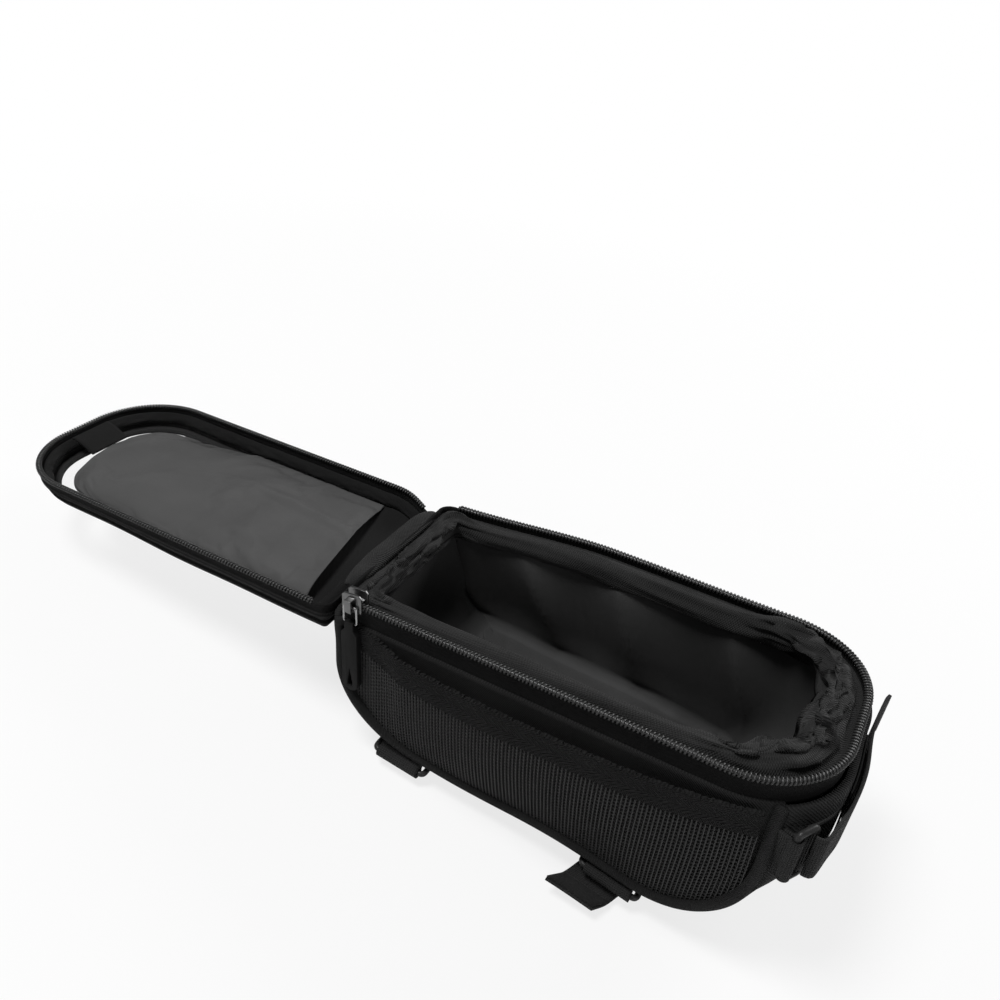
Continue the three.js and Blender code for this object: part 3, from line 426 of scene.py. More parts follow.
def puffed(mesh, held, pressure, growth, cap, frames=20):
    """Lets a sheet swell as loose cloth between its held points, and caps how far each point moves."""
    scene = bpy.context.scene
    data = bpy.data.meshes.new("loose cloth")
    mesh.to_mesh(data)
    piece = bpy.data.objects.new("loose cloth", data)
    scene.collection.objects.link(piece)
    group = piece.vertex_groups.new(name="held")
    group.add([v.index for v in mesh.verts if held(v)], 1.0, "REPLACE")
    cloth = piece.modifiers.new("cloth", "CLOTH")
    cloth.settings.vertex_group_mass = "held"
    cloth.settings.use_pressure = True
    cloth.settings.uniform_pressure_force = pressure
    cloth.settings.shrink_min = -growth
    cloth.settings.effector_weights.gravity = 0
    cloth.settings.quality = 6
    cloth.settings.bending_stiffness = 0.2
    cloth.point_cache.frame_start = 1
    cloth.point_cache.frame_end = frames
    for step in range(1, frames + 1):
        scene.frame_set(step)
    swollen = piece.evaluated_get(bpy.context.evaluated_depsgraph_get())
    mesh.verts.ensure_lookup_table()
    for vertex, moved in zip(mesh.verts, swollen.data.vertices):
        move = moved.co - vertex.co
        if move.length > cap:
            move *= cap / move.length
        vertex.co += move
    scene.frame_set(1)
    bpy.data.objects.remove(piece)
    bpy.data.meshes.remove(data)


# Shapes of the soft body


def wedged(x, z):
    """Height once the bottom slopes down to the strap end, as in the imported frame, and arches a little."""
    share = min(max(1 - z / SEAM_TOP, 0), 1)
    return z - x * WEDGE * share + BOTTOM_ARCH * share * math.exp(-(((x - 0.012) / 0.030) ** 2))


def settle(point, sloped=True):
    """Moves a point of the body as the soft bag lies: its far hinge corner is drawn in and its walls wave."""
    x, y, z = point
    far = smooth(y, 0.0, HALF_WIDTH)
    back = smooth(-x, 0.015, HALF_LENGTH)
    high = smooth(z, 0.005, HEIGHT)
    y -= CORNER_DRAW * far * back * high
    calm = 1 - smooth(z, 0.048, 0.061) * smooth(-y, 0.0, 0.03)
    y += 0.0009 * calm * ripple(x, y, z, 0.045, 3.1)
    x += 0.0008 * calm * ripple(x, y, z, 0.05, 7.7)
    level = wedged(x, z) if sloped else z
    return Vector((x, y, level + 0.0006 * calm * smooth(z, 0.0, 0.02) * ripple(x, y, z, 0.06, 1.3)))


def mouth(u, inset, least=0.001):
    """Point of the mouth outline and the way out of it; u runs once round from the near hinge corner."""
    left = -HALF_LENGTH + inset
    right = HALF_LENGTH - inset
    side = HALF_WIDTH - inset
    hinge = max(MOUTH_HINGE_RADIUS - inset, least)
    end = MOUTH_END_RADIUS - inset
    corner = QUARTER * MOUTH_END_RADIUS
    small = QUARTER * MOUTH_HINGE_RADIUS
    runs = (MOUTH_SIDE_RUN, corner, MOUTH_END_RUN, corner, MOUTH_SIDE_RUN, small, MOUTH_HINGE_RUN, small)
    k, share = run_at(runs, u % 1.0)
    if k == 0:
        return Vector((mixed(left + hinge, right - end, share), -side)), Vector((0, -1))
    if k == 2:
        return Vector((right, mixed(-side + end, side - end, share))), Vector((1, 0))
    if k == 4:
        return Vector((mixed(right - end, left + hinge, share), side)), Vector((0, 1))
    if k == 6:
        return Vector((left, mixed(side - hinge, -side + hinge, share))), Vector((-1, 0))
    centre, start, radius = {
        1: (Vector((right - end, -side + end)), -QUARTER, end),
        3: (Vector((right - end, side - end)), 0.0, end),
        5: (Vector((left + hinge, side - hinge)), QUARTER, hinge),
        7: (Vector((left + hinge, -side + hinge)), math.pi, hinge),
    }[k]
    angle = start + QUARTER * share
    away = Vector((math.cos(angle), math.sin(angle)))
    return centre + away * radius, away


MOUTH_STRAIGHT = 2 * MOUTH_SIDE_RUN + MOUTH_END_RUN
MOUTH_LENGTH = MOUTH_STRAIGHT + MOUTH_HINGE_RUN + math.pi * MOUTH_END_RADIUS + math.pi * MOUTH_HINGE_RADIUS
COIL_END = MOUTH_STRAIGHT - COIL_MARGINS[1] + math.pi * MOUTH_END_RADIUS
COIL_SPAN = (COIL_MARGINS[0] / MOUTH_LENGTH, COIL_END / MOUTH_LENGTH)


def end_stand(y, radius, bulge):
    past = max(abs(y) - (HALF_WIDTH - radius), 0)
    return max(bulge - radius + math.sqrt(max(radius**2 - past**2, 0)), 0)


def end_radius(z):
    """Corner radius of the strap end, which is squarer below the mouth."""
    return mixed(0.024, MOUTH_END_RADIUS, smooth(z, 0.046, 0.068))


def wall_out(x, z):
    """How far the side wall stands from the middle plane at its outside."""
    share = (x - PANEL_LEFT) / (PANEL_RIGHT - PANEL_LEFT)
    radius = end_radius(z)
    past_end = min(max(x - (HALF_LENGTH - radius), 0), radius)
    reach = HALF_WIDTH - (radius - math.sqrt(radius**2 - past_end**2)) * smooth(z, 0, BULGE_RISE)
    crown = (1 - abs(2 * share - 1) ** 2.5) * math.sin(math.pi * min(max(z / HEIGHT, 0), 1) ** 0.8)
    return reach + WALL_CROWN * crown


def panel_ends(z):
    """Left and right end of the side panel at a height."""
    left = BASE_LEFT - math.sqrt(HINGE_BEND**2 - max(HINGE_BEND - z, 0) ** 2)
    right = BASE_RIGHT + math.sqrt(END_BEND**2 - max(END_BEND - z, 0) ** 2)
    return left, right


def outline_point(share):
    """Point of the side outline: down the hinge end, along the bottom and up the strap end."""
    left_arc = QUARTER * HINGE_BEND
    right_arc = QUARTER * END_BEND
    runs = (PANEL_TOP - HINGE_BEND, left_arc, BASE_RIGHT - BASE_LEFT, right_arc, PANEL_TOP - END_BEND)
    k, part = run_at(runs, share)
    if k == 0:
        return PANEL_LEFT, mixed(PANEL_TOP, HINGE_BEND, part)
    if k == 2:
        return mixed(BASE_LEFT, BASE_RIGHT, part), 0.0
    if k == 4:
        return PANEL_RIGHT, mixed(END_BEND, PANEL_TOP, part)
    base, radius, start = (BASE_LEFT, HINGE_BEND, math.pi) if k == 1 else (BASE_RIGHT, END_BEND, -QUARTER)
    angle = start + QUARTER * part
    return base + radius * math.cos(angle), radius * (1 + math.sin(angle))


OUTLINE_ARCS = QUARTER * (HINGE_BEND + END_BEND)
OUTLINE_RUNS = 2 * PANEL_TOP + PANEL_RIGHT - PANEL_LEFT - 2 * (HINGE_BEND + END_BEND)
OUTLINE_LENGTH = OUTLINE_ARCS + OUTLINE_RUNS


def gusset_point(share, y):
    """Point of the strip round the bottom and both ends, with the ends' bulge."""
    x, z = outline_point(share)
    if x > 0:
        out = end_stand(y, end_radius(z), END_BULGE)
        reach = min(max((x - BASE_RIGHT) / END_BEND, 0), 1)
        x += out * smooth(z, 0, BULGE_RISE) * reach
    else:
        out = end_stand(y, MOUTH_HINGE_RADIUS, HINGE_BULGE)
        reach = min(max((BASE_LEFT - x) / HINGE_BEND, 0), 1)
        x -= out * smooth(z, 0, BULGE_RISE) * reach
    return x, z


def lid_turned(point):
    """Places a point that is drawn with the lid shut on the lid as it lies open."""
    return Vector((2 * HINGE_X - point[0], point[1], 2 * HINGE_Z - point[2]))


def lid_settle(point):
    """The soft lid, drawn shut: flatter to its free end, its far hinge corner drawn in, with small waves."""
    x, y, z = point
    z = LID_RIM + (z - LID_RIM) * (1 - 0.2 * smooth(x, -0.06, 0.09))
    corner = smooth(-x, 0.066, 0.098) ** 1.5
    y -= LID_CORNER_DRAW * smooth(y, 0, HALF_WIDTH) * corner
    waves = LID_WAVE * smooth(z, 0.0775, 0.0830)
    y += waves * ripple(x, y, z, 0.05, 5.2)
    z += waves * ripple(x, y, z, 0.06, 9.4)
    return lid_turned((x, y, z))


# Body shell


def build_shell():
    top = PANEL_TOP + 0.0005
    for side, sign in (("near", -1), ("far", 1)):

        def wall(u, v, sign=sign):
            z = top * v
            left, right = panel_ends(z)
            x = mixed(left, right, u)
            return settle((x, sign * wall_out(x, z), z))

        mesh = grid(70, 34, wall, (0.169, 0.07), turned=sign > 0)
        nodes = [f"side_panel_{side}", f"side_foam_{side}"]
        piece = finish_piece(mesh, f"shell_{side}", "shell", "bag", nodes, 0.0028)

    def strip(u, v):
        y = mixed(-1, 1, v) * wall_out(*outline_point(u))
        x, z = gusset_point(u, y)
        sag = -0.0004 * math.sin(math.pi * v) if z < 0.001 else 0.0
        return settle((x, y, z + sag))

    mesh = grid(96, 30, strip, (OUTLINE_LENGTH, 0.092))
    nodes = ["end_gusset", "gusset_foam", "base_board"]
    piece = finish_piece(mesh, "shell_gusset", "shell", "bag", nodes, 0.0024)


def build_piping():
    inward = 0.0012
    for side, sign in (("near", -1), ("far", 1)):
        points = []
        for i in range(161):
            x, z = outline_point(i / 160)
            turn = smooth(z, 0, 0.03)
            lean = inward if x > 0 else -inward
            reach = sign * (wall_out(x, z) + 0.0011)
            points.append(settle((x - lean * turn * 0.4, reach, z + inward * (1 - turn) * 0.5)))
        mesh = tube(points, PIPING_RADIUS, Vector((0, 1, 0)), 12)
        finish_piece(mesh, f"piping_{side}", "piping", "bag", [f"side_piping_{side}"])


# Zip and mouth


def mouth_band(section, size, inset, depth, least=0.001, waves=None, lid=False, turned=False):
    """Band round the mouth: section turns a share of its width into an inset and a height, depth lays its UV."""
    settled = lid_settle if lid else settle

    def place(u, v):
        inward, height = section(v)
        spot, away = mouth(u, inset, least)
        spot = spot - away * (inward - inset)
        if inward > MOUTH_HINGE_RADIUS:
            spot, away = mouth(u, inward, least)
        point = Vector((spot.x, spot.y, height))
        if waves:
            point = point + waves(u, v, spot, away)
        return settled(point)

    return grid(*size, place, (MOUTH_LENGTH, depth), closed=True, turned=turned)


def coil_chain(low, lid):
    """Continuous nylon coil along three sides of the mouth."""
    settled = lid_settle if lid else settle
    out_reach, lift_reach, core_radius = (0.00115, 0.00072, 0.00050) if lid else (0.00135, 0.00100, 0.00085)
    start, end = COIL_SPAN
    turns = round((end - start) * MOUTH_LENGTH / bpy.context.scene.bag_sizes.coil_pitch)
    steps = 9
    middle = low + 0.0012
    points = []
    core = []
    for i in range(turns * steps + 1):
        share = i / (turns * steps)
        spot, away = mouth(mixed(start, end, share), COIL_INSET)
        angle = 2 * math.pi * i / steps
        out = out_reach * math.cos(angle)
        lift = lift_reach * math.sin(angle)
        points.append(settled((spot.x + away.x * out, spot.y + away.y * out, middle + lift)))
        if i % steps == 0:
            core.append(settled((spot.x, spot.y, middle)))
    chain = tube(points, COIL_WIRE, Vector((0.013, 0.007, 1)), 5)
    return joined([chain, tube(core, core_radius, Vector((0, 0, 1)), 6)])


def build_zip():
    for name, body, node, low, high, rows in (
        ("zip_tape", "bag", "mouth_zip_tape", 0.0612, 0.0712, 8),
        ("lid_tape", "lid", "lid_zip_tape", 0.0763, 0.0820, 6),
    ):

        def tape(v, low=low, high=high):
            return 0.0006 + 0.0004 * math.sin(math.pi * v), mixed(low, high, v)

        mesh = mouth_band(tape, (260, rows), 0.0006, high - low, lid=body == "lid")
        finish_piece(mesh, name, "tape", body, [node], 0.0009)
    mesh = coil_chain(HEIGHT - 0.0024, False)
    finish_piece(mesh, "coil_body", "coil", "bag", ["mouth_coil"])
    mesh = coil_chain(LID_RIM, True)
    finish_piece(mesh, "coil_lid", "coil", "lid", ["lid_coil"])


def crumple(x, y, seed):
    """Folds of the hem: short deep ones at the strap end and the hinge corners, long soft ones between."""
    gather = 1.7 * smooth(x, 0.035, 0.075) + smooth(-x, 0.068, 0.088)
    short = 1 - 2 * abs(ripple(x, y, seed, 0.021, 2.0 + seed))
    long = ripple(x, y, seed, 0.040, 4.0 + seed)
    return gather * short + 0.55 * long


def build_hem():
    profile = [
        (0.0020, 0.0688),
        (0.0040, 0.0690),
        (0.0056, 0.0704),
        (0.0085, 0.0713),
        (0.0118, 0.0704),
        (0.0140, 0.0678),
        (0.0138, 0.0647),
        (0.0120, 0.0625),
        (0.0100, 0.0612),
    ]
    path = splined([Vector(p) for p in profile], 5)

    def section(v):
        spot = v * (len(path) - 1)
        k = min(int(spot), len(path) - 2)
        made = path[k].lerp(path[k + 1], spot - k)
        return made.x, made.y

    def waves(u, v, spot, away):
        free = smooth(v, 0.12, 0.42)
        lift = free * (0.0022 * crumple(spot.x, spot.y, v * 0.4) + 0.0012 * smooth(spot.x, 0.03, 0.075))
        gather = 0.0034 * free * crumple(spot.x, spot.y, v * 0.4 + 3)
        push = gather - 0.0045 * free * smooth(spot.x, 0.045, 0.085)
        return Vector((away.x * push, away.y * push, lift))

    mesh = mouth_band(section, (300, 26), 0.0019, 0.022, least=0.003, waves=waves)
    piece = finish_piece(mesh, "mouth_hem_cloth", "hem", "bag", ["mouth_hem"], 0.0009)


TUB_INSET = 0.0085
TUB_FLOOR = 0.0092
TUB_TOP = 0.0665
TUB_WALL_SHARE = 0.62
TUB_STRAIGHT = (-0.055, 0.028)


def tub_point(u, z):
    """Point of the lining's wall at a height, and the way out of it."""
    spot, away = mouth(u, TUB_INSET, least=0.003)
    left, right = panel_ends(z)
    rise = smooth(z, 0, BULGE_RISE)
    left += TUB_INSET - HINGE_BULGE * rise
    right += END_BULGE * rise - TUB_INSET
    low, high = TUB_STRAIGHT
    x = spot.x
    if x > high:
        x = high + (x - high) * (right - high) / (HALF_LENGTH - TUB_INSET - high)
    elif x < low:
        x = low + (x - low) * (left - low) / (-HALF_LENGTH + TUB_INSET - low)
    return x, spot.y, away


def build_lining():
    def place(u, v):
        part = min(v / TUB_WALL_SHARE, 1)
        z = mixed(TUB_TOP, TUB_FLOOR, part)
        x, y, away = tub_point(u, z)
        fade = math.sin(math.pi * min(part * 1.1, 1)) ** 0.6
        crease = 1 - abs(ripple(x + z * 0.45, y, z * 0.3, 0.052, 6.0))
        corner = max(part - 0.66, 0) / 0.34
        push = -fade * 0.0080 * crease**3 - 0.0075 * (1 - math.sqrt(max(1 - corner**2, 0)))
        point = Vector((x + away.x * push, y + away.y * push, z))
        if v > TUB_WALL_SHARE:
            inner = (v - TUB_WALL_SHARE) / (1 - TUB_WALL_SHARE)
            spine = Vector((min(max(x, -0.045), 0.040), 0, TUB_FLOOR))
            point = point.lerp(spine, inner)
            ridge = (1 - abs(ripple(x, y * (1 - inner), 0, 0.03, 2.5))) ** 2
            point.z += 0.0012 * math.sin(math.pi * inner) * ridge
        return settle(point)

    mesh = grid(240, 70, place, (0.50, 0.10), closed=True, turned=True)
    piece = finish_piece(mesh, "lining_tub", "lining", "bag", ["lining"], 0.0005)


# Mesh pockets

POCKET_LEFT = -0.0895
POCKET_RIGHT = 0.0765
POCKET_FLAT = -0.0790
BINDING_WIDTH = 0.0125
STRAND = 0.00032


def pocket_bottom(x):
    bends = ((HINGE_BEND, BASE_LEFT - x), (END_BEND, x - BASE_RIGHT))
    rise = max(radius - math.sqrt(max(radius**2 - max(past, 0) ** 2, 0)) for radius, past in bends)
    return wedged(x, 0.0016 + rise)


def pocket_mouth(u):
    return HEIGHT - 0.0105 - 0.0025 * (1 - (2 * u - 1) ** 2)


def net_top(u):
    return pocket_mouth(u) - BINDING_WIDTH


def pocket_point(u, z, sign, outward):
    x = mixed(POCKET_LEFT, POCKET_RIGHT, u)
    bottom = pocket_bottom(x)
    rise = min(max((z - bottom) / (pocket_mouth(u) - bottom), 0), 1)
    free = smooth(x, POCKET_FLAT, -0.060)
    bow = 0.0068 * free * (1 - abs(2 * u - 1) ** 3) * (1 - (1 - rise) ** 2)
    stand = outward * (0.25 + 0.75 * smooth(x, POCKET_FLAT - 0.002, POCKET_FLAT + 0.004))
    return settle((x, sign * (HALF_WIDTH + 0.0004 + bow + stand), z), sloped=False)


def net_strands(sign):
    """Upright ribs and crossing bars of one pocket net."""
    sizes = bpy.context.scene.bag_sizes
    ribs = round((POCKET_RIGHT - POCKET_LEFT) / sizes.mesh_rib_pitch)
    rows = round(0.060 / sizes.mesh_bar_pitch)
    strands = []
    for i in range(ribs + 1):
        u = i / ribs
        bottom = pocket_bottom(mixed(POCKET_LEFT, POCKET_RIGHT, u))
        top = net_top(u) + 0.001
        steps = max(round((top - bottom) / sizes.mesh_bar_pitch) * 2, 4)
        points = []
        for k in range(steps + 1):
            sway = Vector((0.00012 if k % 2 else -0.00012, 0, 0))
            points.append(pocket_point(u, mixed(bottom, top, k / steps), sign, 0.0008) + sway)
        strands.append(tube(points, STRAND, Vector((0, 1, 0)), 5))
    for k in range(1, rows + 1):
        runs = [[]]
        for i in range(ribs * 2 + 1):
            u = i / (ribs * 2)
            z = net_top(u) - k * sizes.mesh_bar_pitch + (0.0004 if i % 4 < 2 else -0.0004)
            if z < pocket_bottom(mixed(POCKET_LEFT, POCKET_RIGHT, u)) + 0.0004:
                runs.append([])
            else:
                runs[-1].append(pocket_point(u, z, sign, 0.0007))
        strands += [tube(run, STRAND, Vector((0, 0, 1)), 4) for run in runs if len(run) > 4]
    return joined(strands)


def build_pockets():
    for side, sign in (("near", -1), ("far", 1)):
        finish_piece(net_strands(sign), f"mesh_{side}", "mesh", "bag", [f"mesh_pocket_{side}"])

        def band(u, v, sign=sign):
            z = pocket_mouth(u) - BINDING_WIDTH * (1 - v)
            x = mixed(POCKET_LEFT, POCKET_RIGHT, u)
            chevron = abs(2 * v - 1) * 0.0060
            ridge = 0.5 + 0.5 * math.sin(2 * math.pi * (x + chevron) / 0.0022)
            bead = smooth(v, 0.9, 1.0) * (0.5 + 0.5 * math.sin(2 * math.pi * x / 0.0018))
            puff = 0.0005 + 0.0006 * math.sin(math.pi * v)
            return pocket_point(u, z + 0.0003 * bead, sign, puff + 0.00045 * ridge + 0.0005 + 0.0004 * bead)

        mesh = grid(620, 16, band, (0.162, BINDING_WIDTH), turned=sign > 0)
        nodes = [f"pocket_binding_{side}"]
        finish_piece(mesh, f"binding_{side}", "binding", "bag", nodes, 0.0013)


# Lid


LID_CORD_INSET = 0.0040
LID_CORD_HEIGHT = 0.0874
FILM_HEIGHT = 0.0864
RECESS_HEIGHT = 0.0850


def build_lid():
    def wall(v):
        return mixed(0.0006, 0.0040, v**1.6), mixed(0.0803, 0.0872, v)

    mesh = mouth_band(wall, (260, 8), 0.0004, 0.0072, lid=True)
    finish_piece(mesh, "lid_wall_cloth", "shell", "lid", ["lid_wall"], 0.0016)
    points = []
    for i in range(261):
        spot, _ = mouth(i / 260, LID_CORD_INSET)
        points.append(lid_settle((spot.x, spot.y, LID_CORD_HEIGHT)))
    mesh = tube(points, LID_PIPING_RADIUS, Vector((0, 0, 1)), 8, closed=True)
    finish_piece(mesh, "lid_piping_cord", "piping", "lid", ["lid_piping"])

    def border(v):
        return mixed(0.0044, 0.0088, v), 0.0886 - 0.0006 * v

    mesh = mouth_band(border, (260, 8), 0.0044, 0.0106, least=0.002, lid=True, turned=True)
    finish_piece(mesh, "lid_border", "shell", "lid", ["lid_frame", "window_binding"], 0.0022)

    def gathered(v):
        return 0.0024 + 0.0034 * math.sin(math.pi * v), mixed(0.0797, 0.0870, v)

    def waves(u, v, spot, away):
        gather = 0.0011 * math.sin(math.pi * v) * (1 - 2 * abs(ripple(spot.x, spot.y, v * 0.3, 0.009, 5.0)))
        return Vector((away.x * gather, away.y * gather, 0.5 * gather))

    mesh = mouth_band(gathered, (300, 10), 0.0022, 0.012, least=0.002, waves=waves, lid=True)
    nodes = ["lid_inner_binding"]
    piece = finish_piece(mesh, "lid_inner_cloth", "gathered", "lid", nodes, 0.0008)

    def recess(u, v):
        x = mixed(-0.0935, -0.058, u)
        y = mixed(-0.0405, 0.0405, v)
        roll = 0.0045 * math.exp(-(((x + 0.0885) / 0.0035) ** 2))
        under = smooth(x, -0.085, -0.077)
        folds = 0.0010 * (1 - under) * ripple(x, y, 0, 0.014, 4.4)
        return lid_settle((x, y, RECESS_HEIGHT - roll + 0.0008 * under + folds))

    mesh = grid(40, 60, recess, (0.043, 0.081))
    finish_piece(mesh, "lid_hinge_cloth", "gathered", "lid", [], 0.0005)

    def pane(u, v):
        x = mixed(-0.0885, 0.0885, u)
        y = mixed(-1, 1, v) * 0.0385
        corner = max(x - 0.060, 0)
        limit = math.sqrt(max(0.0285**2 - corner**2, 0)) + 0.010
        y = max(min(y, limit), -limit)
        return lid_settle((x, y, FILM_HEIGHT))

    mesh = grid(60, 30, pane, (0.177, 0.077), turned=True)
    finish_piece(mesh, "window_film", "film", "lid", ["phone_window"], 0.0004)


def build_sleeve():
    """Padded phone sleeve: cut to shape, then swollen as cloth between its seams."""
    low = 0.0790
    high = 0.0847
    near_start, far_start = -0.080, -0.065
    near_end, far_end = 0.066, 0.073
    taper, side = 0.050, 0.039

    def cover(u, v):
        y = mixed(-side, side, v)
        end_side = 0.017 if y > 0 else 0.026
        narrow = 1 - (0.2 if y > 0 else 0.03) * smooth(u, 0.6, 1.0)
        past = max((abs(y) - end_side) / (side - end_side), 0)
        free = mixed(near_end, far_end, v) + 0.006 * (1 - (2 * v - 1) ** 2)
        finish = mixed(free, taper, 1 - math.sqrt(max(1 - past**2, 0)))
        x = mixed(mixed(near_start, far_start, v), finish, u)
        rim = (1 - abs(2 * v - 1) ** 8) * (1 - max(2 * u - 1, 0) ** 10)
        fall = 0.0052 * max(y - 0.009, 0) / 0.030
        dent = 0.0036 * smooth(-y, 0.022, 0.036) * max(ripple(x, 0, 0, 0.013, 2.0), 0)
        soft = 0.0012 * ripple(x, y * 0.6, 0, 0.032, 5.0)
        crown = mixed(high, low, math.sqrt(max(rim, 0)))
        return Vector((x, y * narrow, min(crown + fall + dent + soft, high)))

    mesh = grid(96, 50, cover, (0.15, 0.078))
    puffed(mesh, lambda vertex: vertex.is_boundary, 5.0, 0.03, 0.0022)
    for vertex in mesh.verts:
        vertex.co = lid_settle(vertex.co)
    piece = finish_piece(mesh, "sleeve_cover", "sleeve", "lid", ["phone_sleeve"], 0.0006)
    fine = piece.modifiers.new("fine", "SUBSURF")
    fine.levels = 1
    fine.render_levels = 1

    def patch(u, v):
        x = mixed(0.058, 0.069, u)
        y = mixed(-1, 1, v) * 0.0105
        return lid_settle((x, y, 0.0840))

    mesh = grid(10, 14, patch, (0.013, 0.022))
    finish_piece(mesh, "loop_patch_sleeve", "pile", "lid", ["sleeve_loop_patch"], 0.0008)

    def tab(u, v):
        x = mixed(0.0768, 0.0902, u)
        y = mixed(-1, 1, v) * 0.011
        z = 0.0816 - 0.0046 * smooth(x, 0.074, 0.089)
        return lid_turned((x, y, z))

    mesh = grid(24, 14, tab, (0.034, 0.022))
    nodes = ["sleeve_tab", "sleeve_hook_patch"]
    finish_piece(mesh, "tab_sleeve", "gathered", "sleeve_flap", nodes, 0.0011)


def build_hinge():
    """Cloth that runs from the mouth of the body across the hinge line to the lid."""

    def fold(u, v):
        y = mixed(-0.033, 0.030, u)
        ends = 1 - abs(2 * u - 1) ** 5
        x = HINGE_X + mixed(0.0045, -0.0045, v) * (0.55 + 0.45 * ends)
        arch = math.sin(math.pi * v)
        lift = 0.0030 * arch**0.7 + 0.0017 * arch * ripple(0, y, v * 0.004, 0.009, 3.3)
        return Vector((x, y, 0.0692 + lift * (0.4 + 0.6 * ends) - 0.0022 * (1 - ends)))

    mesh = grid(60, 12, fold, (0.064, 0.011), turned=True)
    piece = finish_piece(mesh, "hinge_cloth", "hem", None, ["hinge_seam", "hinge_flap"])
    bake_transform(piece)
    walled(piece, 0.0012, 0.0)


# Slider and puller


def cad_copy(node, name, material, body, width, segments=2):
    """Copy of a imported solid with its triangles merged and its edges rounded."""
    mesh = bmesh.new()
    mesh.from_mesh(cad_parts[node].data)
    bmesh.ops.remove_doubles(mesh, verts=mesh.verts, dist=0.000005)
    bmesh.ops.dissolve_limit(mesh, angle_limit=0.02, verts=mesh.verts, edges=mesh.edges)
    bmesh.ops.bevel(
        mesh,
        geom=[edge for edge in mesh.edges if edge.is_manifold and edge.calc_face_angle(0) > 0.6],
        offset=width,
        segments=segments,
        profile=0.5,
        affect="EDGES",
        material=-1,
        clamp_overlap=True,
    )
    finish_piece(mesh, name, material, body, [node])


def build_slider():
    cad_copy("zip_slider", "slider_body", "gunmetal", "slider", 0.00022)
    wire = 0.00055
    low, high = (Vector(corner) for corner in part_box("pull_link"))
    y = (low.y + high.y) / 2
    left, right = low.x + wire, high.x - wire
    bottom, top = low.z + wire, high.z - wire
    corners = [Vector((x, y, z)) for x, z in ((left, top), (left, bottom), (right, bottom), (right, top))]
    mesh = tube(rounded(corners, 0.0011, 6), wire, Vector((0, 1, 0)), 10, closed=True)
    finish_piece(mesh, "slider_link", "nickel", "link", ["pull_link"])
    cad_copy("rubber_puller", "puller_grip", "rubber", "puller", 0.0006, 3)


# Straps


def polar(centre, radius, angle):
    return Vector((centre.x + radius * math.cos(angle), centre.y + radius * math.sin(angle)))


def arc(centre, radius, start, end, steps=12):
    return [polar(centre, radius, mixed(start, end, k / steps)) for k in range(steps + 1)]


def strip(path, place, count, width=0.020, lean=None, thick=0.0):
    """Webbing strip along a flat path; place puts a path point and a distance across it in space."""
    points, length = resampled([Vector((p.x, p.y, 0)) for p in path], count)

    def spot(u, v):
        i = min(round(u * count), count)
        point = points[i]
        along = (points[min(i + 1, count)] - points[max(i - 1, 0)]).normalized()
        out = Vector((-along.y, along.x, 0)) * thick
        shift = lean(u) if lean else 0.0
        return place(point.x + out.x, point.y + out.y, mixed(-width / 2, width / 2, v) + shift)

    return grid(count, 10, spot, (length, width))


SEAM = HALF_WIDTH - 0.0024
BAR = 0.00162
STRAP_WRAP = BAR + WEBBING / 2
STRAP_WALL = WEBBING * 0.95
TAB_WRAP = BAR + 0.00045
TAB_STEM = 0.00085
RING_PITCH = 0.0084
RING_HALF = 0.0118
RING_CORNER_STEPS = 7
PATCH_REACH = 0.017
PATCH_WALL = 0.0006
PATCH_STAND = 0.0013


def ring_mesh(inner, tilt, place, pitch):
    """Moulded rectangular ring: two long bars and two rounded ends."""
    corners = [(0, -RING_HALF), (pitch, -RING_HALF), (pitch, RING_HALF), (0, RING_HALF)]
    path = []
    for p in rounded([Vector(corner) for corner in corners], 0.0021, RING_CORNER_STEPS):
        spot = polar(inner, p.x, tilt)
        path.append(place(spot.x, spot.y, p.y))
    step = RING_CORNER_STEPS + 1
    normal = (path[step] - path[0]).cross(path[2 * step] - path[step]).normalized()
    return tube(path, 0.00125, normal, 12, closed=True)


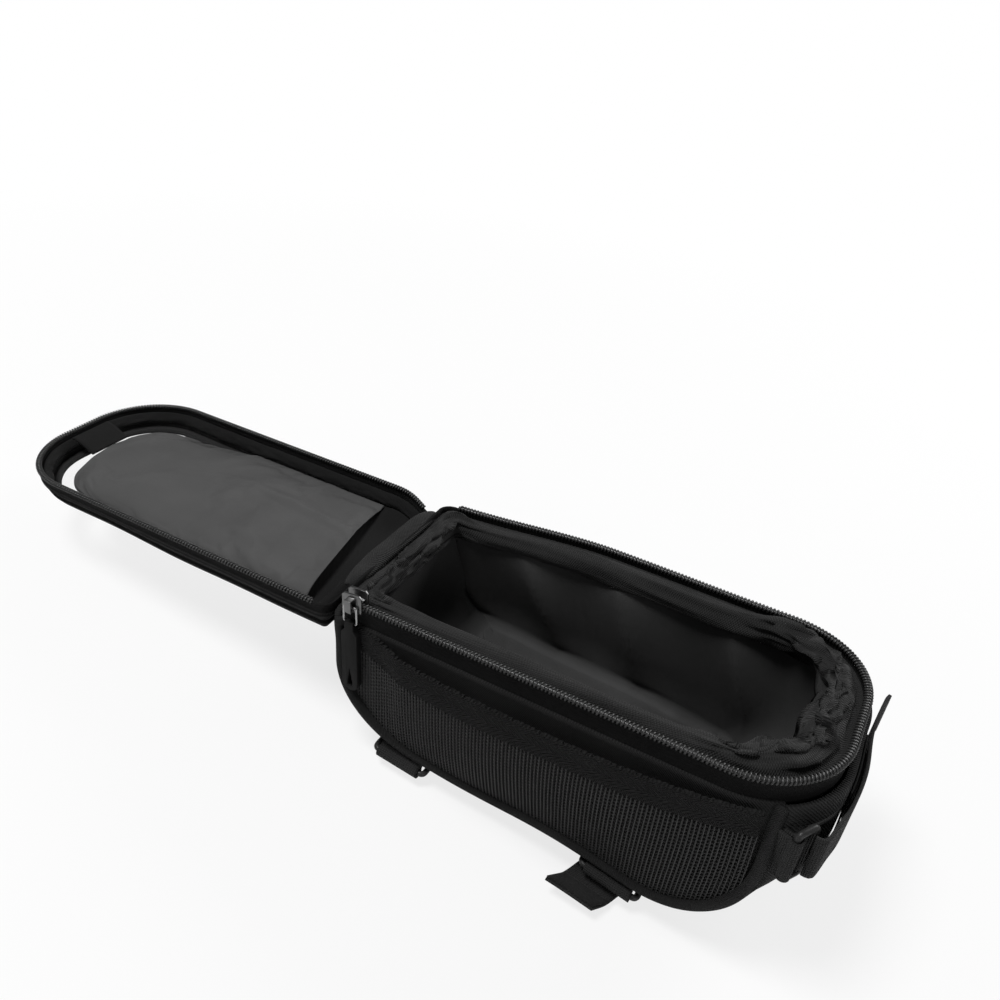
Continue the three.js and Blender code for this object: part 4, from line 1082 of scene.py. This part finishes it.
def build_strap(name, root, inner, tilt, place, approach, tail, closed, body, lean=None, reach=0.0):
    """Tab, ring, webbing, tail and both patches of one strap; closed folds the tail back over the webbing."""

    def add(kind, mesh, material, on, wall=0.0):
        node = f"strap_{name}" if kind == "webbing" else f"strap_{kind}_{name}"
        finish_piece(mesh, f"{kind}_{name}", material, on, [node], wall, 0.0)

    outer = polar(inner, RING_PITCH, tilt)
    inner = polar(inner, -reach, tilt)
    way = tilt + math.pi
    toward = math.atan2(inner.y - root.y, inner.x - root.x)
    eye = arc(inner, TAB_WRAP, toward - math.pi + 0.45, toward + math.pi - 0.45, 22)
    stems = [polar(root, TAB_STEM, toward + turn) for turn in (-QUARTER, QUARTER)]
    mesh = strip([stems[0], *eye, stems[1]], place, 60, 0.0194)
    bmesh.ops.recalc_face_normals(mesh, faces=mesh.faces)
    add("tab", mesh, "webbing", "bag", 0.0009)
    add("ring", ring_mesh(inner, tilt, place, RING_PITCH + reach), "plastic", "bag")
    wrap = arc(outer, STRAP_WRAP, way - QUARTER - math.radians(25), way + math.radians(20), 14)
    mesh = strip([*approach(outer), *wrap], place, 110)
    add("webbing", mesh, "webbing", "bag", STRAP_WALL)
    middle = [p for p in approach(outer) if abs(p.x) < PATCH_REACH]
    mesh = strip(middle, place, 30, 0.0196, thick=PATCH_STAND)
    add("loop_patch", mesh, "pile", "bag", PATCH_WALL)
    start = polar(outer, 0.0027, way + math.pi / 4)
    turns = ((0.0038, 0.44), (0.0045, 0.62)) if closed else ()
    turn = [polar(outer, radius, way + math.pi * share) for radius, share in turns]
    points = splined([start, *turn, *tail(outer)], 8)
    mesh = strip(points, place, 70, 0.0198, lean)
    add("tail", mesh, "webbing", body, STRAP_WALL)
    ends = [p for p in points if abs(p.x) < PATCH_REACH] if closed else points[-9:]
    end_lean = (lambda u: lean(mixed(0.6, 1, u))) if lean else None
    mesh = strip(ends, place, 24, 0.0194, end_lean, PATCH_STAND if closed else -PATCH_STAND)
    add("hook_patch", mesh, "pile", body, PATCH_WALL)


def bottom_strap(name, x, drop, tail, closed, **more):
    """Strap under the bottom at x, whose webbing runs at a drop below it."""
    base = 0.0003 + WEBBING / 2
    bend = (drop - base) / 2
    far = -(HALF_WIDTH - 0.008) + bend - WEBBING

    def approach(outer):
        return [
            Vector((far + 0.008, base)),
            *arc(Vector((far, base + bend)), bend, -QUARTER, -math.pi * 3 / 2),
            Vector((-0.0167, drop)),
            Vector((0.0167, drop)),
            Vector((outer.x - 0.012, drop)),
        ]

    def place(a, b, c):
        return Vector((x + c, -a, wedged(x + c, -b)))

    root = Vector((SEAM, 0.0003))
    inner = Vector((SEAM, 0.005))
    build_strap(name, root, inner, math.pi, place, approach, tail, closed, f"{name}_tail", **more)


def build_bottom_straps():
    drop = 0.00985
    low = 0.005 + BAR + 0.0009

    def rear_tail(outer):
        return [Vector((x, drop)) for x in (outer.x - 0.0054, PATCH_REACH, 0, outer.x - 0.048)]

    def front_tail(outer):
        return [
            Vector((SEAM, low + 0.0003 + WEBBING)),
            Vector((HALF_WIDTH, low + 2 * WEBBING - 0.0003)),
            Vector((HALF_WIDTH + 0.0075, low + 2 * WEBBING + 0.0004)),
            Vector((HALF_WIDTH + 0.0155, low + WEBBING - 0.0015)),
        ]

    bottom_strap("rear", -0.062, 0.0062, rear_tail, True, reach=0.0065)
    bottom_strap("front", 0.033, 0.0089, front_tail, False, lean=lambda u: -0.42 * 0.025 * u, reach=0.0050)


def build_end_strap():
    crown = END_BULGE + 0.0026

    def lifted(share, stand, lift=0.0):
        return Vector((share * HALF_WIDTH, stand * crown + lift * 0.0039))

    def approach(outer):
        seam = [Vector((-SEAM, 0.0009 + WEBBING)), Vector((-SEAM, crown * 0.35))]
        over = ((-0.8, 0.59), (-0.5, 0.9), (0, 1), (0.36, 0.97), (0.6, 0.85), (0.7, 0.74))
        return splined([*seam, *(lifted(*spot) for spot in over)], 8)

    def tail(outer):
        over = ((0.66, 0.86, 0.7), (0.4, 0.98, 0.8), (0, 1, 1), (-0.5, 0.92, 1))
        end = ((-0.95, 0.92, 1.4), (-1.06, 0.96, 1.5))
        return [lifted(*spot) for spot in over + end]

    def place(a, b, c):
        return Vector((PANEL_RIGHT + b, -a, 0.046 + c))

    root = Vector((SEAM, 0.0009))
    inner = Vector((SEAM + 0.002, 0.007))
    tilt = math.radians(148)
    build_strap("end", root, inner, tilt, place, approach, tail, True, "end_tail", lean=lambda u: -0.006 * u)


# Stage


def add_object(name, data):
    made = bpy.data.objects.new(name, data)
    bpy.context.scene.collection.objects.link(made)
    return made


def floor_material():
    """Pale floor that the camera sees as nearly white: camera rays see a painted glow mixed in, whose share
    grows away from the bag where the lamps' light falls off, so the floor looks brighter there.
    """
    recipe = Recipe("pale floor")
    recipe.set(Base_Color=(0.8, 0.8, 0.8, 1), Roughness=0.9)
    where = recipe.node("ShaderNodeTexCoord")
    away = recipe.node("ShaderNodeVectorMath")
    away.operation = "LENGTH"
    recipe.feed(away.inputs[0], where.outputs["Object"])
    # Painted glow: the share of emission that camera rays see grows from 0.78 near the bag to 1.0 far away; the
    # rest is the lit floor with its shadow.
    fade = recipe.node("ShaderNodeMapRange", From_Min=0.15, From_Max=0.7, To_Min=0.78, To_Max=1.0)
    recipe.feed(fade.inputs["Value"], away.outputs["Value"])
    seen = recipe.node("ShaderNodeLightPath").outputs["Is Camera Ray"]
    painted_glow = recipe.node("ShaderNodeEmission", Color=(1, 1, 1, 1))
    mix = recipe.node("ShaderNodeMixShader")
    recipe.feed(mix.inputs[0], recipe.math("MULTIPLY", seen, fade.outputs["Result"]))
    recipe.feed(mix.inputs[1], recipe.shader.outputs[0])
    recipe.feed(mix.inputs[2], painted_glow.outputs[0])
    recipe.feed(recipe.output.inputs[0], mix.outputs[0])
    return recipe.material


def studio_world():
    """White world for the camera that gives only a dim light."""
    world = bpy.data.worlds.new("studio")
    world.use_nodes = True
    nodes = world.node_tree.nodes
    links = world.node_tree.links
    nodes.clear()
    mix = nodes.new("ShaderNodeMixShader")
    for k, strength in ((1, 0.14), (2, 1.0)):
        light = nodes.new("ShaderNodeBackground")
        light.inputs[0].default_value = (1, 1, 1, 1)
        light.inputs[1].default_value = strength
        links.new(light.outputs[0], mix.inputs[k])
    links.new(nodes.new("ShaderNodeLightPath").outputs["Is Camera Ray"], mix.inputs[0])
    links.new(mix.outputs[0], nodes.new("ShaderNodeOutputWorld").inputs[0])
    return world


def build_stage():
    scene = bpy.context.scene
    scene.view_settings.view_transform = "Standard"
    scene.world = studio_world()
    mesh = bmesh.new()
    bmesh.ops.create_grid(mesh, x_segments=1, y_segments=1, size=6.0)
    bmesh.ops.translate(mesh, verts=mesh.verts, vec=(0, 0, -0.0114))
    bmesh.ops.rotate(mesh, verts=mesh.verts, matrix=Matrix.Rotation(math.atan(WEDGE), 3, "Y"))
    data = bpy.data.meshes.new("floor")
    mesh.to_mesh(data)
    mesh.free()
    data.materials.append(floor_material())
    add_object("floor", data)

    for name, location, target, size, power in (
        ("key", (-0.34, -0.28, 1.24), (-0.03, 0, 0.05), 0.45, 14),
        ("back", (0.45, 0.95, 0.60), (0, 0, 0.04), 0.6, 7),
        ("side", (1.2, -0.7, 0.35), (0, 0, 0.04), 0.4, 3),
    ):
        light = bpy.data.lights.new(name, "AREA")
        light.shape = "DISK"
        light.size = size
        light.energy = power
        made = add_object(name, light)
        made.location = location
        made.rotation_euler = (Vector(target) - Vector(location)).to_track_quat("-Z", "Y").to_euler()

    lens = bpy.data.cameras.new("camera")
    lens.sensor_width = 36
    lens.lens = 32.28
    lens.shift_x = 0.02274
    lens.shift_y = 0.03429
    lens.clip_start = 0.01
    lens.clip_end = 50
    camera = add_object("camera", lens)
    turn = Matrix(((0.86474, -0.33157, 0.37720), (0.49835, 0.47353, -0.72623), (0.06218, 0.81598, 0.57472)))
    camera.matrix_world = Matrix.Translation((0.07516, -0.25926, 0.29468)) @ turn.to_4x4()
    scene.camera = camera


# Settings, operators and panel


def length_setting(name, description, default):
    return bpy.props.FloatProperty(name=name, description=description, default=default, unit="LENGTH")


def grey_setting(name, thing, default):
    description = f"Grey level of the {thing}"
    return bpy.props.FloatProperty(name=name, description=description, default=default, min=0, max=255)


class BagSizes(bpy.types.PropertyGroup):
    coil_pitch: length_setting("Coil pitch", "Distance between two turns of the zip coil", 0.0015)
    mesh_rib_pitch: length_setting("Mesh rib pitch", "Distance between two ribs of the pocket net", 0.0015)
    mesh_bar_pitch: length_setting("Mesh bar pitch", "Distance between two bars of the pocket net", 0.0019)


class BagColours(bpy.types.PropertyGroup):
    shell: grey_setting("Shell", "shell cloth", 27)
    hem: grey_setting("Hem", "hem cloth", 36)
    lining: grey_setting("Lining", "lining", 54)
    sleeve: grey_setting("Sleeve", "phone sleeve", 74)
    tape: grey_setting("Zip tape", "zip tape", 16)
    binding: grey_setting("Binding", "pocket binding", 21)
    webbing: grey_setting("Webbing", "straps", 30)
    mesh: grey_setting("Mesh", "pocket net", 36)
    coil: grey_setting("Coil", "zip coil", 44)
    plastic: grey_setting("Rings", "rings", 40)
    rubber: grey_setting("Puller", "rubber puller", 18)


class BAG_OT_materials(bpy.types.Operator):
    """Makes the bag's finishes"""

    bl_idname = "bag.materials"
    bl_label = "Materials"

    def execute(self, context):
        make_materials()
        return {"FINISHED"}


class BAG_OT_stage(bpy.types.Operator):
    """Adds the floor, the light and the camera"""

    bl_idname = "bag.stage"
    bl_label = "Stage"

    def execute(self, context):
        build_stage()
        return {"FINISHED"}


class BAG_OT_shell(bpy.types.Operator):
    """Builds the padded walls and their piping"""

    bl_idname = "bag.shell"
    bl_label = "Shell"

    def execute(self, context):
        build_shell()
        build_piping()
        return {"FINISHED"}


class BAG_OT_zip(bpy.types.Operator):
    """Builds the zip tape and the nylon coil of body and lid"""

    bl_idname = "bag.zip"
    bl_label = "Zip"

    def execute(self, context):
        build_zip()
        return {"FINISHED"}


class BAG_OT_mouth(bpy.types.Operator):
    """Builds the folded hem and the lining tub"""

    bl_idname = "bag.mouth"
    bl_label = "Mouth"

    def execute(self, context):
        build_hem()
        build_lining()
        return {"FINISHED"}


class BAG_OT_pockets(bpy.types.Operator):
    """Builds the mesh pockets and their bindings"""

    bl_idname = "bag.pockets"
    bl_label = "Pockets"

    def execute(self, context):
        build_pockets()
        return {"FINISHED"}


class BAG_OT_lid(bpy.types.Operator):
    """Builds the lid's wall, piping, border and window"""

    bl_idname = "bag.lid"
    bl_label = "Lid"

    def execute(self, context):
        build_lid()
        return {"FINISHED"}


class BAG_OT_sleeve(bpy.types.Operator):
    """Builds the padded phone sleeve and its tab"""

    bl_idname = "bag.sleeve"
    bl_label = "Sleeve"

    def execute(self, context):
        build_sleeve()
        return {"FINISHED"}


class BAG_OT_hinge(bpy.types.Operator):
    """Builds the cloth across the hinge line"""

    bl_idname = "bag.hinge"
    bl_label = "Hinge"

    def execute(self, context):
        build_hinge()
        return {"FINISHED"}


class BAG_OT_slider(bpy.types.Operator):
    """Builds the slider, its link and the puller"""

    bl_idname = "bag.slider"
    bl_label = "Slider"

    def execute(self, context):
        build_slider()
        return {"FINISHED"}


class BAG_OT_straps(bpy.types.Operator):
    """Builds the three straps with their rings"""

    bl_idname = "bag.straps"
    bl_label = "Straps"

    def execute(self, context):
        build_bottom_straps()
        build_end_strap()
        return {"FINISHED"}


OPERATORS = [
    BAG_OT_materials, BAG_OT_stage, BAG_OT_shell, BAG_OT_zip,
    BAG_OT_mouth, BAG_OT_pockets, BAG_OT_lid, BAG_OT_sleeve,
    BAG_OT_hinge, BAG_OT_slider, BAG_OT_straps,
]


class BAG_PT_panel(bpy.types.Panel):
    """Lists the bag's settings and build steps"""

    bl_label = "Bag"
    bl_idname = "BAG_PT_panel"
    bl_space_type = "VIEW_3D"
    bl_region_type = "UI"
    bl_category = "Bag"

    def draw(self, context):
        for group in (context.scene.bag_sizes, context.scene.bag_colours):
            for name in group.__annotations__:
                self.layout.prop(group, name)
        for made in OPERATORS:
            self.layout.operator(made.bl_idname)


CLASSES = [BagSizes, BagColours, *OPERATORS, BAG_PT_panel]


def register():
    for made in CLASSES:
        bpy.utils.register_class(made)
    bpy.types.Scene.bag_sizes = bpy.props.PointerProperty(type=BagSizes)
    bpy.types.Scene.bag_colours = bpy.props.PointerProperty(type=BagColours)


def unregister():
    del bpy.types.Scene.bag_colours
    del bpy.types.Scene.bag_sizes
    for made in reversed(CLASSES):
        bpy.utils.unregister_class(made)


def main():
    register()
    for made in OPERATORS:
        getattr(bpy.ops.bag, made.bl_idname.removeprefix("bag."))()


if __name__ == "__main__":
    main()
